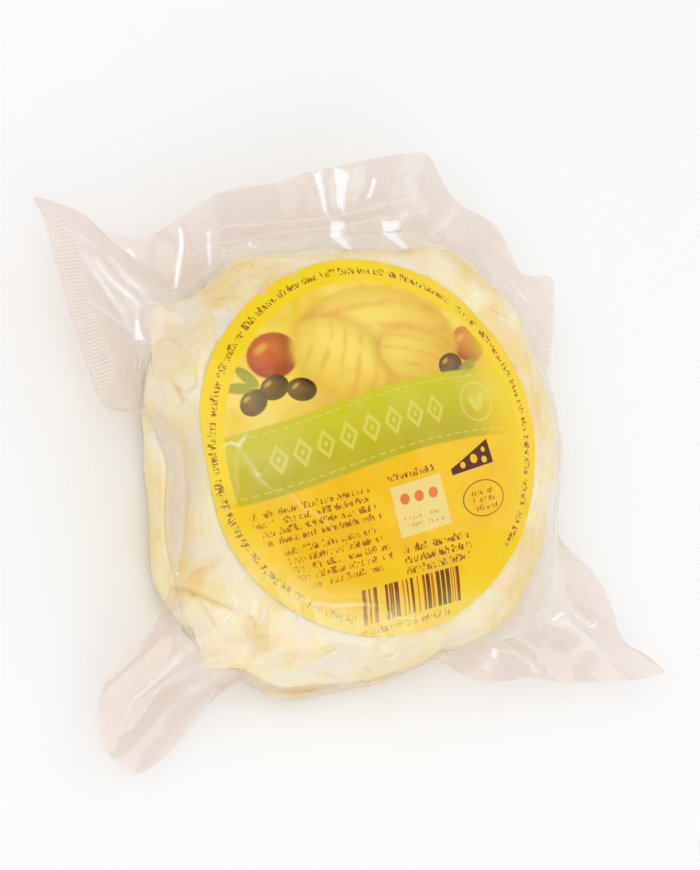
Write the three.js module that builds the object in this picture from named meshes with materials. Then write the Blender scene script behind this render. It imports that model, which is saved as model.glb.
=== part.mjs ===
// Oaxaca cheese in a clear vacuum pouch, lying on its back with its round label up.
// Millimetres, +Z up, +Y towards the pouch's mouth. The origin is the middle of the flat underside.
//
// The pouch is drawn tight round a puck of wound, pulled curd. Where its two webs meet, they leave a
// flat rim that runs out into four ears. The rim's fine ribs and creases are too small for this model.

import * as THREE from 'three';

// ---- driving dimensions ------------------------------------------------------------------------

const cheese = {
  radius: 50,           // half width of the puck, before its bulges
  thickness: 33,        // at the middle of its crown
  crownDrop: 8,         // how much lower the crown is at the label's edge
  crownPower: 2.4,      // how the crown falls away: 2 is a sphere's cap, more is flatter
  restInset: 9,         // the flat underside stops this far inside the widest outline
};

// Swellings and hollows of the wound curd, seen in plan: where, how far out, and how wide.
const bulges = [
  { at: 10, height: 5.0, width: 14 },
  { at: 32, height: 6.0, width: 14 },
  { at: 50, height: 6.5, width: 12 },
  { at: 78, height: 1.0, width: 18 },
  { at: 106, height: 4.0, width: 12 },
  { at: 128, height: 1.8, width: 14 },
  { at: 143, height: 1.5, width: 8 },
  { at: 168, height: -1.8, width: 10 },
  { at: 201, height: 4.2, width: 17 },
  { at: 235, height: 4.4, width: 13 },
  { at: 281, height: -1.6, width: 14 },
  { at: 310, height: 2.2, width: 12 },
  { at: 328, height: 3.6, width: 12 },
  { at: 352, height: 4.2, width: 14 },
];

// Where the puck's shoulder stands higher than elsewhere.
const shoulders = [{ at: 38, height: 4.0, width: 26 }];

const rim = {
  thickness: 0.8,       // the two webs sealed together
  height: 13,           // where the webs meet on the side of the puck
  gap: 1.2,             // from the curd to where the webs meet, on a plain side
  earGap: 0.26,         // extra gap for each millimetre that an ear reaches out
  plainReach: 10,       // a rim that reaches less than this has no extra gap
  turnWindow: 0.035,    // share of the outline over which the rim's fan of folds is evened out
};

// The left rim stands folded up against the puck, so its root is pulled in over the lower bulge.
const foldedSide = { from: 158, to: 202, blend: 9, tuck: 4 };

// The pouch's bottom edge is drawn in tight, with next to no rim.
const drawnSide = { from: 230, to: 290, blend: 6, tuck: 1.8, rootDrop: 4.5 };

const label = {
  radius: 43,
  y: 3.7,                                     // the middle, towards the mouth
  pucker: { at: 176, height: -1.5, width: 16 },  // where the film's creases draw its edge in
  clearance: 0.4,
  thickness: 0.5,
};

// The rim's outer edge, anticlockwise from the right: x, y and height above the floor.
const rimEdge = [
  // right side seal, low beside the puck, then the tab that sticks out
  [52, -28.5, 8.5], [55, -19.5, 8], [58, -10, 8], [60, -2, 8.5], [60, 5.5, 9.5], [59.5, 12, 10.5],
  [61.5, 18, 11.5], [64, 24, 12], [65.5, 29, 12.5], [66, 33, 13], [64.5, 34, 13],
  // step behind the tab, upper right seal and corner
  [58, 35.5, 13.5], [56, 41.5, 14], [53.5, 47.5, 14.5], [50.5, 51, 15], [45.5, 54, 15.5],
  [42.5, 57.5, 16], [41, 61, 16.5], [40, 65, 17], [38.5, 67.5, 17],
  // mouth
  [34.5, 68, 17.5], [25.5, 68.5, 18], [16.5, 68.5, 17.5], [7, 68.5, 16.5], [-2, 67.5, 16], [-11, 68, 16],
  [-18.5, 67.5, 16.5], [-25, 65, 17], [-32.5, 62.5, 17.5], [-39, 61, 17],
  // upper left ear and the lobe below it
  [-45.5, 63.5, 16], [-48.5, 65.5, 15.5], [-50, 69, 15], [-54, 72, 15], [-60.5, 75, 15],
  [-59.5, 70.5, 14.5], [-59, 64.5, 14.5], [-59.5, 58, 15], [-60, 50, 15], [-59.5, 41.5, 15.5],
  [-58.5, 33, 16], [-58.5, 27.5, 16.5], [-57, 25.5, 17], [-53, 24.5, 18], [-49, 23, 20],
  // left side, folded up on edge
  [-49, 17, 22], [-49.5, 8.5, 23], [-53, -2, 23], [-55.5, -12.5, 22], [-56.5, -19, 18.5],
  // lower left ear, blunt and bent down
  [-56, -21.5, 14.5], [-58.5, -24.5, 12], [-64, -27.5, 10], [-69, -32, 8], [-72, -37, 7],
  [-73.5, -42.5, 6], [-73.5, -47, 5.5], [-67.5, -53.5, 5], [-59, -52, 5.5], [-52, -47.5, 6.5],
  [-46.5, -43, 7.5], [-43, -39, 8.5], [-40.5, -37.5, 9],
  // bottom, drawn in under the puck
  [-37.5, -40.5, 8.5], [-33, -45, 7.5], [-24.5, -47.5, 6.5], [-16, -48.5, 6.5], [-5.5, -49, 6.5],
  [3, -48.5, 6.5], [9.5, -48, 7], [13.5, -48.5, 8],
  // lower right ear, with a sharp tip
  [16, -51, 9], [20.5, -54, 9], [26.5, -56, 9.5], [34.5, -57, 9.5], [42.5, -60, 9], [53.5, -62.5, 8],
  [65, -64.5, 7], [73, -64.5, 6], [67, -59.5, 7], [63.5, -53.5, 7.5], [62.5, -47.5, 8],
  [60.5, -41.5, 8.5], [58, -36.5, 9], [55, -32.5, 9.5],
];

// Folds that run from the puck to the rim's edge: where, how high and how wide, in degrees.
const folds = [
  { at: 18, height: 1.4, width: 3 },
  { at: 47, height: -1.6, width: 4 },
  { at: 66, height: 2.2, width: 3 },
  { at: 78, height: -1.8, width: 4 },
  { at: 92, height: 1.6, width: 3 },
  { at: 106, height: -1.4, width: 4 },
  { at: 117, height: 2.4, width: 3 },
  { at: 130, height: -2.0, width: 3 },
  { at: 143, height: 2.2, width: 4 },
  { at: 207, height: -1.6, width: 2 },
  { at: 214, height: 3.0, width: 3 },
  { at: 221, height: -1.8, width: 2 },
  { at: 293, height: 1.8, width: 3 },
  { at: 304, height: -1.6, width: 3 },
  { at: 314, height: 2.6, width: 3 },
  { at: 322, height: -1.8, width: 3 },
  { at: 340, height: 1.2, width: 4 },
];

// ---- how finely the solids are faceted ---------------------------------------------------------

const around = 128;       // points round every ring
const labelRings = 4;     // from the label's middle to its edge
const wallRings = 7;      // from the label's edge to the rim's root
const rimRings = 5;       // across the rim
const bellyRings = 6;     // from the rim's root to the flat underside

// ---- plain helpers -----------------------------------------------------------------------------

const { smoothstep, degToRad, radToDeg, euclideanModulo } = THREE.MathUtils;

const turnBetween = (a, b) => euclideanModulo(a - b + 180, 360) - 180;

const bump = (angle, { at, height, width }) => height * Math.exp(-((turnBetween(angle, at) / width) ** 2));

const sumOf = (angle, list) => list.reduce((total, item) => total + bump(angle, item), 0);

// 1 inside a stretch of angles and 0 outside it, with soft ends.
function stretch(angle, { from, to, blend }) {
  const half = (to - from) / 2;
  const away = Math.abs(turnBetween(angle, (from + to) / 2));
  return 1 - smoothstep(away, half - blend, half + blend);
}

function bezier(t, a, b, c, d) {
  const s = 1 - t;
  return s * s * s * a + 3 * s * s * t * b + 3 * s * t * t * c + t * t * t * d;
}

// A point at a radius and height, in the direction of an angle in degrees, about the puck's axis.
function polar(angle, radius, height) {
  const turn = degToRad(angle);
  return new THREE.Vector3(radius * Math.cos(turn), radius * Math.sin(turn), height);
}

// ---- the puck ----------------------------------------------------------------------------------

const cheeseRadius = (angle) => cheese.radius + sumOf(angle, bulges);

// Low, slanting swells of the wound strands under the film.
function strands(x, y, height) {
  const angle = Math.atan2(y, x);
  const winding = Math.sin(9 * angle + height / 5) + 0.6 * Math.sin(14 * angle - height / 4);
  return 0.5 * winding * smoothstep(Math.hypot(x, y - label.y), 0.6 * label.radius, label.radius + 4);
}

// Height of the crown at a place in plan, out to the label's edge.
function crownHeight(x, y) {
  const out = Math.hypot(x, y - label.y) / label.radius;
  const lumps = 0.35 * Math.sin(0.17 * x + 0.9) * Math.sin(0.14 * y + 0.4);
  return cheese.thickness - cheese.crownDrop * out ** cheese.crownPower + lumps;
}

// A share of the way from the label's middle to its edge.
function crownPoint(angle, share) {
  const place = polar(angle, share * (label.radius + bump(angle, label.pucker)), 0);
  place.y += label.y;
  place.z = crownHeight(place.x, place.y);
  return place;
}

// ---- the rim -----------------------------------------------------------------------------------

// The outer edge, as evenly spaced points, and the direction of each one from the puck's axis.
function edgeOfRim(count) {
  const stations = rimEdge.map((place) => new THREE.Vector3(...place));
  const curve = new THREE.CatmullRomCurve3(stations, true, 'centripetal');
  curve.arcLengthDivisions = 2000;
  const points = curve.getSpacedPoints(count).slice(0, count);
  const angles = [];
  for (const p of points) {
    const angle = radToDeg(Math.atan2(p.y, p.x));
    const last = angles.length ? angles[angles.length - 1] : angle;
    angles.push(last + turnBetween(angle, last));
  }
  return { points, angles };
}

// The rim's root follows the edge's direction, averaged over its neighbours, so folds fan out evenly.
function evenedAngles(angles) {
  const count = angles.length;
  const window = Math.round(rim.turnWindow * count);
  return angles.map((_, i) => {
    let total = 0;
    for (let step = -window; step <= window; step += 1) {
      const j = i + step;
      total += angles[euclideanModulo(j, count)] + 360 * Math.floor(j / count);
    }
    return total / (2 * window + 1);
  });
}

// Where the two webs meet, in a plane through the puck's axis.
function rootOfRim(angle, edge) {
  const radius = cheeseRadius(angle);
  const folded = stretch(angle, foldedSide);
  const drawn = stretch(angle, drawnSide);
  const reach = Math.hypot(edge.x, edge.y) - radius;
  const gap = rim.gap + rim.earGap * Math.max(0, reach - rim.plainReach);
  const tucked = -foldedSide.tuck * folded - drawnSide.tuck * drawn;
  const plain = (1 - folded) * (1 - drawn);
  return { radius: radius + gap * plain + tucked, height: rim.height - drawnSide.rootDrop * drawn };
}

// Everything that the rings need to know about one direction round the puck.
function sectionAt(angle, edge) {
  const root = rootOfRim(angle, edge);
  const rootPoint = polar(angle, root.radius, root.height);
  const slope = Math.atan2(edge.z - root.height, edge.distanceTo(rootPoint));
  const outward = polar(angle, 1, 0);
  const across = outward.clone().multiplyScalar(-Math.sin(slope)).setZ(Math.cos(slope));
  return {
    angle, edge, root, rootPoint,
    radius: cheeseRadius(angle),
    crown: crownPoint(angle, 1),
    shoulder: sumOf(angle, shoulders),
    half: across.multiplyScalar(rim.thickness / 2),
  };
}

// A point of the rim's middle surface: out is 0 at the root and 1 at the edge.
function rimPoint({ angle, edge, rootPoint }, out) {
  const point = rootPoint.clone().lerp(edge, out);
  const standing = stretch(angle, foldedSide);
  point.z += sumOf(angle, folds) * out * (1.6 - out) * (1 - standing);
  return point;
}

// ---- rings, from the top middle outwards and back to the bottom middle ---------------------------

function crownRing(sections, share) {
  return sections.map((s) => crownPoint(s.angle, share));
}

// The upper web, down the puck's side to the rim's root.
function wallRing(sections, share) {
  return sections.map((s) => {
    const start = Math.hypot(s.crown.x, s.crown.y);
    const wall = Math.min(s.radius, s.root.radius + 1);
    const lean = 0.5 * (wall - start);
    const top = s.rootPoint.z + s.half.z;
    const radius = bezier(share, start, start + lean, wall + 0.6 + 0.6 * s.shoulder, s.root.radius);
    const upper = s.crown.z - 0.44 * lean + 0.6 * s.shoulder;
    const height = bezier(share, s.crown.z, upper, top + 2.5 + 1.3 * s.shoulder, top);
    const from = radToDeg(Math.atan2(s.crown.y, s.crown.x));
    const turn = turnBetween(s.angle, from) * share;
    const point = polar(from + turn, radius, height);
    const swell = strands(point.x, point.y, height) * Math.sin(Math.PI * share);
    return point.add(polar(from + turn, swell, 0));
  });
}

function rimRing(sections, out, side) {
  return sections.map((s) => rimPoint(s, out).addScaledVector(s.half, side));
}

// The lower web, round the puck's belly to its flat underside.
function bellyRing(sections, share) {
  return sections.map((s) => {
    const top = s.rootPoint.z - s.half.z;
    const belly = s.radius + 1.2;
    const radius = bezier(share, s.root.radius, belly, belly, s.radius - cheese.restInset);
    const height = bezier(share, top, top - 1, 0.3, 0);
    const point = polar(s.angle, radius, height);
    const swell = strands(point.x, point.y, height) * Math.sin(Math.PI * share) ** 2;
    return point.add(polar(s.angle, swell, 0));
  });
}

const shares = (count) => Array.from({ length: count }, (_, i) => (i + 1) / count);

// ---- one closed mesh from rings ------------------------------------------------------------------

function closedSkin(topMiddle, rings, bottomMiddle) {
  const count = rings[0].length;
  const points = [topMiddle, ...rings.flat(), bottomMiddle];
  const at = (ring, i) => 1 + ring * count + (i % count);
  const faces = [];
  for (let i = 0; i < count; i += 1) {
    faces.push(0, at(0, i), at(0, i + 1));
    for (let ring = 0; ring + 1 < rings.length; ring += 1) {
      faces.push(at(ring, i), at(ring + 1, i), at(ring + 1, i + 1));
      faces.push(at(ring, i), at(ring + 1, i + 1), at(ring, i + 1));
    }
    faces.push(at(rings.length - 1, i + 1), at(rings.length - 1, i), points.length - 1);
  }
  const geometry = new THREE.BufferGeometry().setFromPoints(points);
  geometry.setIndex(faces);
  geometry.computeVertexNormals();
  return geometry;
}

// ---- sub-parts -----------------------------------------------------------------------------------

function pouchGeometry(sections) {
  const rings = [
    ...shares(labelRings).map((share) => crownRing(sections, share)),
    ...shares(wallRings).map((share) => wallRing(sections, share)),
    ...shares(rimRings).map((out) => rimRing(sections, out, 1)),
    ...shares(rimRings).map((out) => rimRing(sections, 1 - out + 1 / rimRings, -1)),
    ...shares(bellyRings).map((share) => bellyRing(sections, share)),
  ];
  return closedSkin(crownPoint(0, 0), rings, new THREE.Vector3(0, 0, 0));
}

function labelGeometry(sections) {
  const lifted = (height) => (point) => point.clone().setZ(point.z + height);
  const under = lifted(label.clearance);
  const over = lifted(label.clearance + label.thickness);
  const rings = shares(labelRings).map((share) => crownRing(sections, share));
  const middle = crownPoint(0, 0);
  const both = [...rings.map((ring) => ring.map(over)), ...rings.reverse().map((ring) => ring.map(under))];
  return closedSkin(over(middle), both, under(middle));
}

function piece(name, geometry, color, roughness) {
  const mesh = new THREE.Mesh(geometry, new THREE.MeshStandardMaterial({ color, roughness, metalness: 0 }));
  mesh.name = name;
  return mesh;
}

// ---- the part ------------------------------------------------------------------------------------

const { points, angles } = edgeOfRim(around);
const sections = evenedAngles(angles).map((angle, i) => sectionAt(angle, points[i]));

const part = new THREE.Group();
part.add(piece('sealed_pouch', pouchGeometry(sections), 0xf2e6c4, 0.25));
part.add(piece('label', labelGeometry(sections), 0xf3cf2a, 0.35));

export default part;
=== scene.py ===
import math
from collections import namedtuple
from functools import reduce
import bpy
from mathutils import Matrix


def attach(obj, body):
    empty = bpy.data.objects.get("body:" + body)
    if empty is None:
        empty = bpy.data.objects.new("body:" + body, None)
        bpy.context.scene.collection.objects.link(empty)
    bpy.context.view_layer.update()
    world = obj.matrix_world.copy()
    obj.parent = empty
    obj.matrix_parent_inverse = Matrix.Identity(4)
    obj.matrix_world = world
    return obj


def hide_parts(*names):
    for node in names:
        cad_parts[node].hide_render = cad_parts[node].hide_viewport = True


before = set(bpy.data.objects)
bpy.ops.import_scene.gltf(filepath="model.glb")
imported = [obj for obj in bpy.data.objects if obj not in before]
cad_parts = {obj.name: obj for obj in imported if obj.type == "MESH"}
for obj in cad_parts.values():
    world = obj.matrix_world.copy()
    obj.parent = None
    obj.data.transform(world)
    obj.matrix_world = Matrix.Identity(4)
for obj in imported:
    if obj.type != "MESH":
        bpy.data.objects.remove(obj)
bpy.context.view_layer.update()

# Looks of a vacuum-packed oaxaca cheese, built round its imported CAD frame.
#
# The CAD pouch is one solid. Here it is replaced by what a clear pouch shows: the wound curd inside,
# the film's upper and lower webs, and the ribbed seals. The CAD label is replaced by a thin sheet that
# follows the film, with its print drawn in its material.
#
# Shapes are worked out in millimetres and turned into metres when a mesh is made. +Z is up, +Y is
# towards the pouch's mouth, and the label's middle is at (0, LABEL.y). Angles are in degrees,
# anticlockwise from +X.

from types import SimpleNamespace

import bpy
import numpy as np
from mathutils import Matrix, Vector
from mathutils.bvhtree import BVHTree

MM = 0.001

# ---- the frame's driving dimensions, as in part.mjs but for the folded side ----

CHEESE = SimpleNamespace(radius=50, thickness=33, crown_drop=8, crown_power=2.4, rest_inset=9)
RIM = SimpleNamespace(
    thickness=0.8, sealed_gap=0.12, height=13, gap=1.2, ear_gap=0.26, plain_reach=10, turn_window=0.035,
)
LABEL = SimpleNamespace(radius=43, y=3.7, pucker=(176, -1.5, 16))

# The left rim stands folded up against the puck, and the bottom edge is drawn in tight. The folded
# rim stands about 4 mm closer to the puck than in part.mjs, whose thicker rim needs the room.
FOLDED_SIDE = dict(start=158, end=202, blend=9)
FOLDED_TUCK = 2.5         # how far its root is drawn in
FOLDED_WALL_TUCK = 3.5    # how far the film above its root is drawn in
FOLDED_CLING = 0.8        # how far its film clings instead of hanging slack, from 0 to 1
DRAWN_SIDE = dict(start=230, end=290, blend=6)
DRAWN_TUCK = 1.8
DRAWN_DROP = 4.5

# Swellings and hollows of the curd in plan: angle, height and width.
BULGES = [
    (10, 5.0, 14), (32, 6.0, 14), (50, 6.5, 12), (78, 1.0, 18), (106, 4.0, 12), (128, 1.8, 14),
    (143, 1.5, 8), (168, -1.8, 10), (201, 4.2, 17), (235, 4.4, 13), (281, -1.6, 14), (310, 2.2, 12),
    (328, 3.6, 12), (352, 4.2, 14),
]

# Where the curd's shoulder stands higher than elsewhere: angle, height and width.
SHOULDERS = [(38, 4.0, 26)]

# Where the film stands off the curd's side: angle, gap and width.
STANDOFFS = [(332, 1.6, 24)]

# Where the curd runs out into the foot of an ear: angle, reach and width.
TOES = [(221, 8.0, 11), (131, 7.0, 9)]

# Folds that run from the puck to the rim's edge: angle, height and width.
FOLDS = [
    (18, 1.4, 3), (47, -1.6, 4), (66, 2.2, 3), (78, -1.8, 4), (92, 1.6, 3), (106, -1.4, 4),
    (117, 2.4, 3), (130, -2.0, 3), (143, 2.2, 4), (207, -1.6, 2), (214, 3.0, 3), (221, -1.8, 2),
    (293, 1.8, 3), (304, -1.6, 3), (314, 2.6, 3), (322, -1.8, 3), (340, 1.2, 4),
]

# The rim's outer edge, anticlockwise from the right: x, y and height above the floor.
RIM_EDGE = [
    # right side seal and the tab that sticks out
    (52, -28.5, 8.5), (55, -19.5, 8), (58, -10, 8), (60, -2, 8.5), (60, 5.5, 9.5), (59.5, 12, 10.5),
    (61.5, 18, 11.5), (64, 24, 12), (65.5, 29, 12.5), (66, 33, 13), (64.5, 34, 13),
    # step behind the tab, upper right seal and corner
    (58, 35.5, 13.5), (56, 41.5, 14), (53.5, 47.5, 14.5), (50.5, 51, 15), (45.5, 54, 15.5),
    (42.5, 57.5, 16), (41, 61, 16.5), (40, 65, 17), (38.5, 67.5, 17),
    # mouth
    (34.5, 68, 17.5), (25.5, 68.5, 18), (16.5, 68.5, 17.5), (7, 68.5, 16.5), (-2, 67.5, 16), (-11, 68, 16),
    (-18.5, 67.5, 16.5), (-25, 65, 17), (-32.5, 62.5, 17.5), (-39, 61, 17),
    # upper left ear and the lobe below it
    (-45.5, 63.5, 16), (-48.5, 65.5, 15.5), (-50, 69, 15), (-54, 72, 15), (-60.5, 75, 15),
    (-59.5, 70.5, 14.5), (-59, 64.5, 14.5), (-59.5, 58, 15), (-60, 50, 15), (-59.5, 41.5, 15.5),
    (-58.5, 33, 16), (-58.5, 27.5, 16.5), (-57, 25.5, 17), (-53, 24.5, 18), (-49, 23, 20),
    # left side, folded up on edge
    (-45.5, 16, 22.5), (-46, 7.5, 23.5), (-49, -3, 23.5), (-53, -12.5, 22.5), (-56, -19, 18.5),
    # lower left ear
    (-56, -21.5, 14.5), (-58.5, -24.5, 12), (-64, -27.5, 10), (-69, -32, 8), (-72, -37, 7),
    (-73.5, -42.5, 6), (-73.5, -47, 5.5), (-67.5, -53.5, 5), (-59, -52, 5.5), (-52, -47.5, 6.5),
    (-46.5, -43, 7.5), (-43, -39, 8.5), (-40.5, -37.5, 9),
    # bottom, drawn in under the puck
    (-37.5, -40.5, 8.5), (-33, -45, 7.5), (-24.5, -47.5, 6.5), (-16, -48.5, 6.5), (-5.5, -49, 6.5),
    (3, -48.5, 6.5), (9.5, -48, 7), (13.5, -48.5, 8),
    # lower right ear
    (16, -51, 9), (20.5, -54, 9), (26.5, -56, 9.5), (34.5, -57, 9.5), (42.5, -60, 9), (53.5, -62.5, 8),
    (65, -64.5, 7), (73, -64.5, 6), (67, -59.5, 7), (63.5, -53.5, 7.5), (62.5, -47.5, 8),
    (60.5, -41.5, 8.5), (58, -36.5, 9), (55, -32.5, 9.5),
]

# ---- how finely the pieces are divided ----

FILM = SimpleNamespace(around=1280, crown_rings=6, wall_rings=58, rim_rings=56)
BACK = SimpleNamespace(around=640, rim_rings=30, belly_rings=44)
CURD = SimpleNamespace(around=720, crown_rings=6, wall_rings=62, belly_rings=46)
SHEET = SimpleNamespace(around=600, rings=92, thickness=0.12, lift=0.11)

# ---- numbers ----


def smoothstep(value, low, high):
    share = np.clip((value - low) / (high - low), 0, 1)
    return share * share * (3 - 2 * share)


def turn_between(a, b):
    return (a - b + 180) % 360 - 180


def bump(angle, at, height, width):
    return height * np.exp(-((turn_between(angle, at) / width) ** 2))


def sum_of(angle, bumps):
    return sum(bump(angle, *item) for item in bumps)


def stretch(angle, start, end, blend):
    """1 inside a stretch of angles and 0 outside it, with soft ends."""
    half = (end - start) / 2
    away = np.abs(turn_between(angle, (start + end) / 2))
    return 1 - smoothstep(away, half - blend, half + blend)


def bezier(t, a, b, c, d):
    s = 1 - t
    return s**3 * a + 3 * s * s * t * b + 3 * s * t * t * c + t**3 * d


def polar(angle, radius, height):
    turn = np.radians(angle)
    return np.stack(np.broadcast_arrays(radius * np.cos(turn), radius * np.sin(turn), height), axis=-1)


def unit(vectors):
    return vectors / np.maximum(np.linalg.norm(vectors, axis=-1, keepdims=True), 1e-9)


def running_mean(values, window):
    """Each value averaged with its neighbours; window is how many on either side."""
    return np.convolve(values, np.ones(2 * window + 1) / (2 * window + 1), mode="valid")


def waves(places, length, seed, count=20):
    """A smooth, seeded field of swells over places in space, mostly within -1 to 1."""
    draw = np.random.default_rng(seed)
    headings = unit(draw.normal(size=(count, 3)))
    lengths = length * draw.uniform(0.7, 1.6, count)
    phases = draw.uniform(0, 2 * math.pi, count)
    total = sum(
        np.sin(places @ heading * (2 * math.pi / size) + phase)
        for heading, size, phase in zip(headings, lengths, phases)
    )
    return total / math.sqrt(count)


# ---- sections round the puck, much as in part.mjs ----


def closed_curve(stations, count, steps=80):
    """Evenly spaced points on the closed centripetal Catmull-Rom curve through the stations."""
    p1 = np.array(stations, float)
    p0, p2, p3 = np.roll(p1, 1, 0), np.roll(p1, -1, 0), np.roll(p1, -2, 0)
    d0, d1, d2 = (np.sqrt(np.linalg.norm(b - a, axis=1))[:, None] for a, b in ((p0, p1), (p1, p2), (p2, p3)))
    leave = d1 * ((p1 - p0) / d0 - (p2 - p0) / (d0 + d1) + (p2 - p1) / d1)
    arrive = d1 * ((p2 - p1) / d1 - (p3 - p1) / (d1 + d2) + (p3 - p2) / d2)
    square = 3 * (p2 - p1) - 2 * leave - arrive
    cube = 2 * (p1 - p2) + leave + arrive
    share = np.linspace(0, 1, steps, endpoint=False)[None, :, None]
    fine = p1[:, None] + share * (leave[:, None] + share * (square[:, None] + share * cube[:, None]))
    fine = fine.reshape(-1, 3)
    fine = np.vstack([fine, fine[:1]])
    along = np.concatenate([[0], np.cumsum(np.linalg.norm(np.diff(fine, axis=0), axis=1))])
    even = np.linspace(0, along[-1], count, endpoint=False)
    return np.stack([np.interp(even, along, fine[:, axis]) for axis in range(3)], axis=-1)


def evened(angles):
    """The edge's directions, each averaged over its neighbours, so that folds fan out evenly."""
    count = len(angles)
    window = round(RIM.turn_window * count)
    wrapped = np.concatenate([angles[-window:] - 360, angles, angles[:window] + 360])
    return running_mean(wrapped, window)


def cheese_radius(angle):
    return CHEESE.radius + sum_of(angle, BULGES)


def strands(x, y, height):
    """Low, slanting swells of the wound strands under the film."""
    angle = np.arctan2(y, x)
    winding = np.sin(9 * angle + height / 5) + 0.6 * np.sin(14 * angle - height / 4)
    return 0.5 * winding * smoothstep(np.hypot(x, y - LABEL.y), 0.6 * LABEL.radius, LABEL.radius + 4)


def crown_height(x, y):
    out = np.hypot(x, y - LABEL.y) / LABEL.radius
    lumps = 0.35 * np.sin(0.17 * x + 0.9) * np.sin(0.14 * y + 0.4)
    return CHEESE.thickness - CHEESE.crown_drop * out**CHEESE.crown_power + lumps


def crown_point(angle, share):
    """A share of the way from the label's middle to its edge."""
    place = polar(angle, share * (LABEL.radius + bump(angle, *LABEL.pucker)), 0)
    place[..., 1] += LABEL.y
    place[..., 2] = crown_height(place[..., 0], place[..., 1])
    return place


def sections(count):
    """What the rings need to know about each direction round the puck."""
    edge = closed_curve(RIM_EDGE, count)
    angle = evened(np.degrees(np.unwrap(np.arctan2(edge[:, 1], edge[:, 0]))))
    radius = cheese_radius(angle)
    folded, drawn = stretch(angle, **FOLDED_SIDE), stretch(angle, **DRAWN_SIDE)
    reach = np.hypot(edge[:, 0], edge[:, 1]) - radius
    gap = RIM.gap + RIM.ear_gap * np.maximum(0, reach - RIM.plain_reach)
    root_radius = radius + gap * (1 - folded) * (1 - drawn) - FOLDED_TUCK * folded - DRAWN_TUCK * drawn
    root_height = RIM.height - DRAWN_DROP * drawn
    root = polar(angle, root_radius, root_height)
    slope = np.arctan2(edge[:, 2] - root_height, np.linalg.norm(edge - root, axis=1))
    across = polar(angle, -np.sin(slope), np.cos(slope))
    return SimpleNamespace(
        angle=angle, edge=edge, radius=radius, root=root, root_radius=root_radius, across=across,
        crown=crown_point(angle, 1), folded=folded, shoulder=sum_of(angle, SHOULDERS),
    )


# ---- rings ----


def crown_ring(s, share):
    return crown_point(s.angle, share)


def wall_ring(s, share):
    """The upper web, from the label's edge down the puck's side to the rim's root."""
    start = np.hypot(s.crown[:, 0], s.crown[:, 1])
    wall = np.minimum(s.radius, s.root_radius + 1 - FOLDED_WALL_TUCK * s.folded)
    lean = 0.5 * (wall - start)
    top = s.root[:, 2] + s.across[:, 2] * RIM.thickness / 2
    radius = bezier(share, start, start + lean, wall + 0.6 + 0.6 * s.shoulder, s.root_radius)
    upper = s.crown[:, 2] - 0.44 * lean + 0.6 * s.shoulder
    height = bezier(share, s.crown[:, 2], upper, top + 2.5 + 1.3 * s.shoulder, top)
    begin = np.degrees(np.arctan2(s.crown[:, 1], s.crown[:, 0]))
    angle = begin + turn_between(s.angle, begin) * share
    place = polar(angle, radius, height)
    swell = strands(place[:, 0], place[:, 1], height) * np.sin(math.pi * share)
    return place + polar(angle, swell, 0)


def belly_ring(s, share):
    """The lower web, from the rim's root round the puck's belly to its flat underside."""
    top = s.root[:, 2] - s.across[:, 2] * RIM.thickness / 2
    belly = s.radius + 1.2
    radius = bezier(share, s.root_radius, belly, belly, s.radius - CHEESE.rest_inset)
    height = bezier(share, top, top - 1, 0.3, 0)
    place = polar(s.angle, radius, height)
    swell = strands(place[:, 0], place[:, 1], height) * np.sin(math.pi * share) ** 2
    return place + polar(s.angle, swell, 0)


def rim_ring(s, out):
    """The rim's middle surface: out is 0 at the root and 1 at the edge."""
    place = s.root + (s.edge - s.root) * out
    place[:, 2] += sum_of(s.angle, FOLDS) * out * (1.6 - out) * (1 - s.folded)
    return place


def shares(count, first=1):
    return np.arange(first, count + 1) / count


def grid_normals(rings):
    """Outward normals of a grid of closed rings that runs from the top outwards and down."""
    around = np.roll(rings, -1, axis=1) - np.roll(rings, 1, axis=1)
    outward = np.gradient(rings, axis=0)
    return unit(np.cross(outward, around))


# ---- creases, crumples and patches ----

# A crease is a sharp ridge along a route in plan, with its height and half width.
Crease = namedtuple("Crease", "route height width")

LABEL_CREASES = [
    # a star of creases at the label's left edge, and one that runs on across it
    Crease([(-38, 11), (-35.5, 11.5), (-34, 10.5), (-31, 13)], 0.85, 1.0),
    Crease([(-34, 10.5), (-32.5, 6), (-31.5, 2), (-28, -2.5)], 0.60, 0.9),
    Crease([(-29, -1), (-26, -2), (-23.5, -6.5), (-20.5, -8.5), (-17, -14)], 0.50, 0.9),
    Crease([(-34, 10.5), (-36, 5), (-36.5, -1)], 0.40, 1.1),
    Crease([(-33, 3.5), (-30, 3), (-27.5, 5)], 0.40, 0.8),
    # bowed creases below and left of the label's lowest part
    Crease([(-29, -24), (-25, -27), (-20, -29), (-14, -30), (-9, -31.5)], 0.80, 1.0),
    Crease([(-9, -31.5), (-6, -35), (0, -36.5), (5, -35.5)], 0.60, 0.9),
    Crease([(-12, -34), (-8, -39), (-4, -42)], 0.60, 1.0),
    Crease([(-29, -24), (-28, -30), (-25, -36)], 0.70, 1.2),
]

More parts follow.
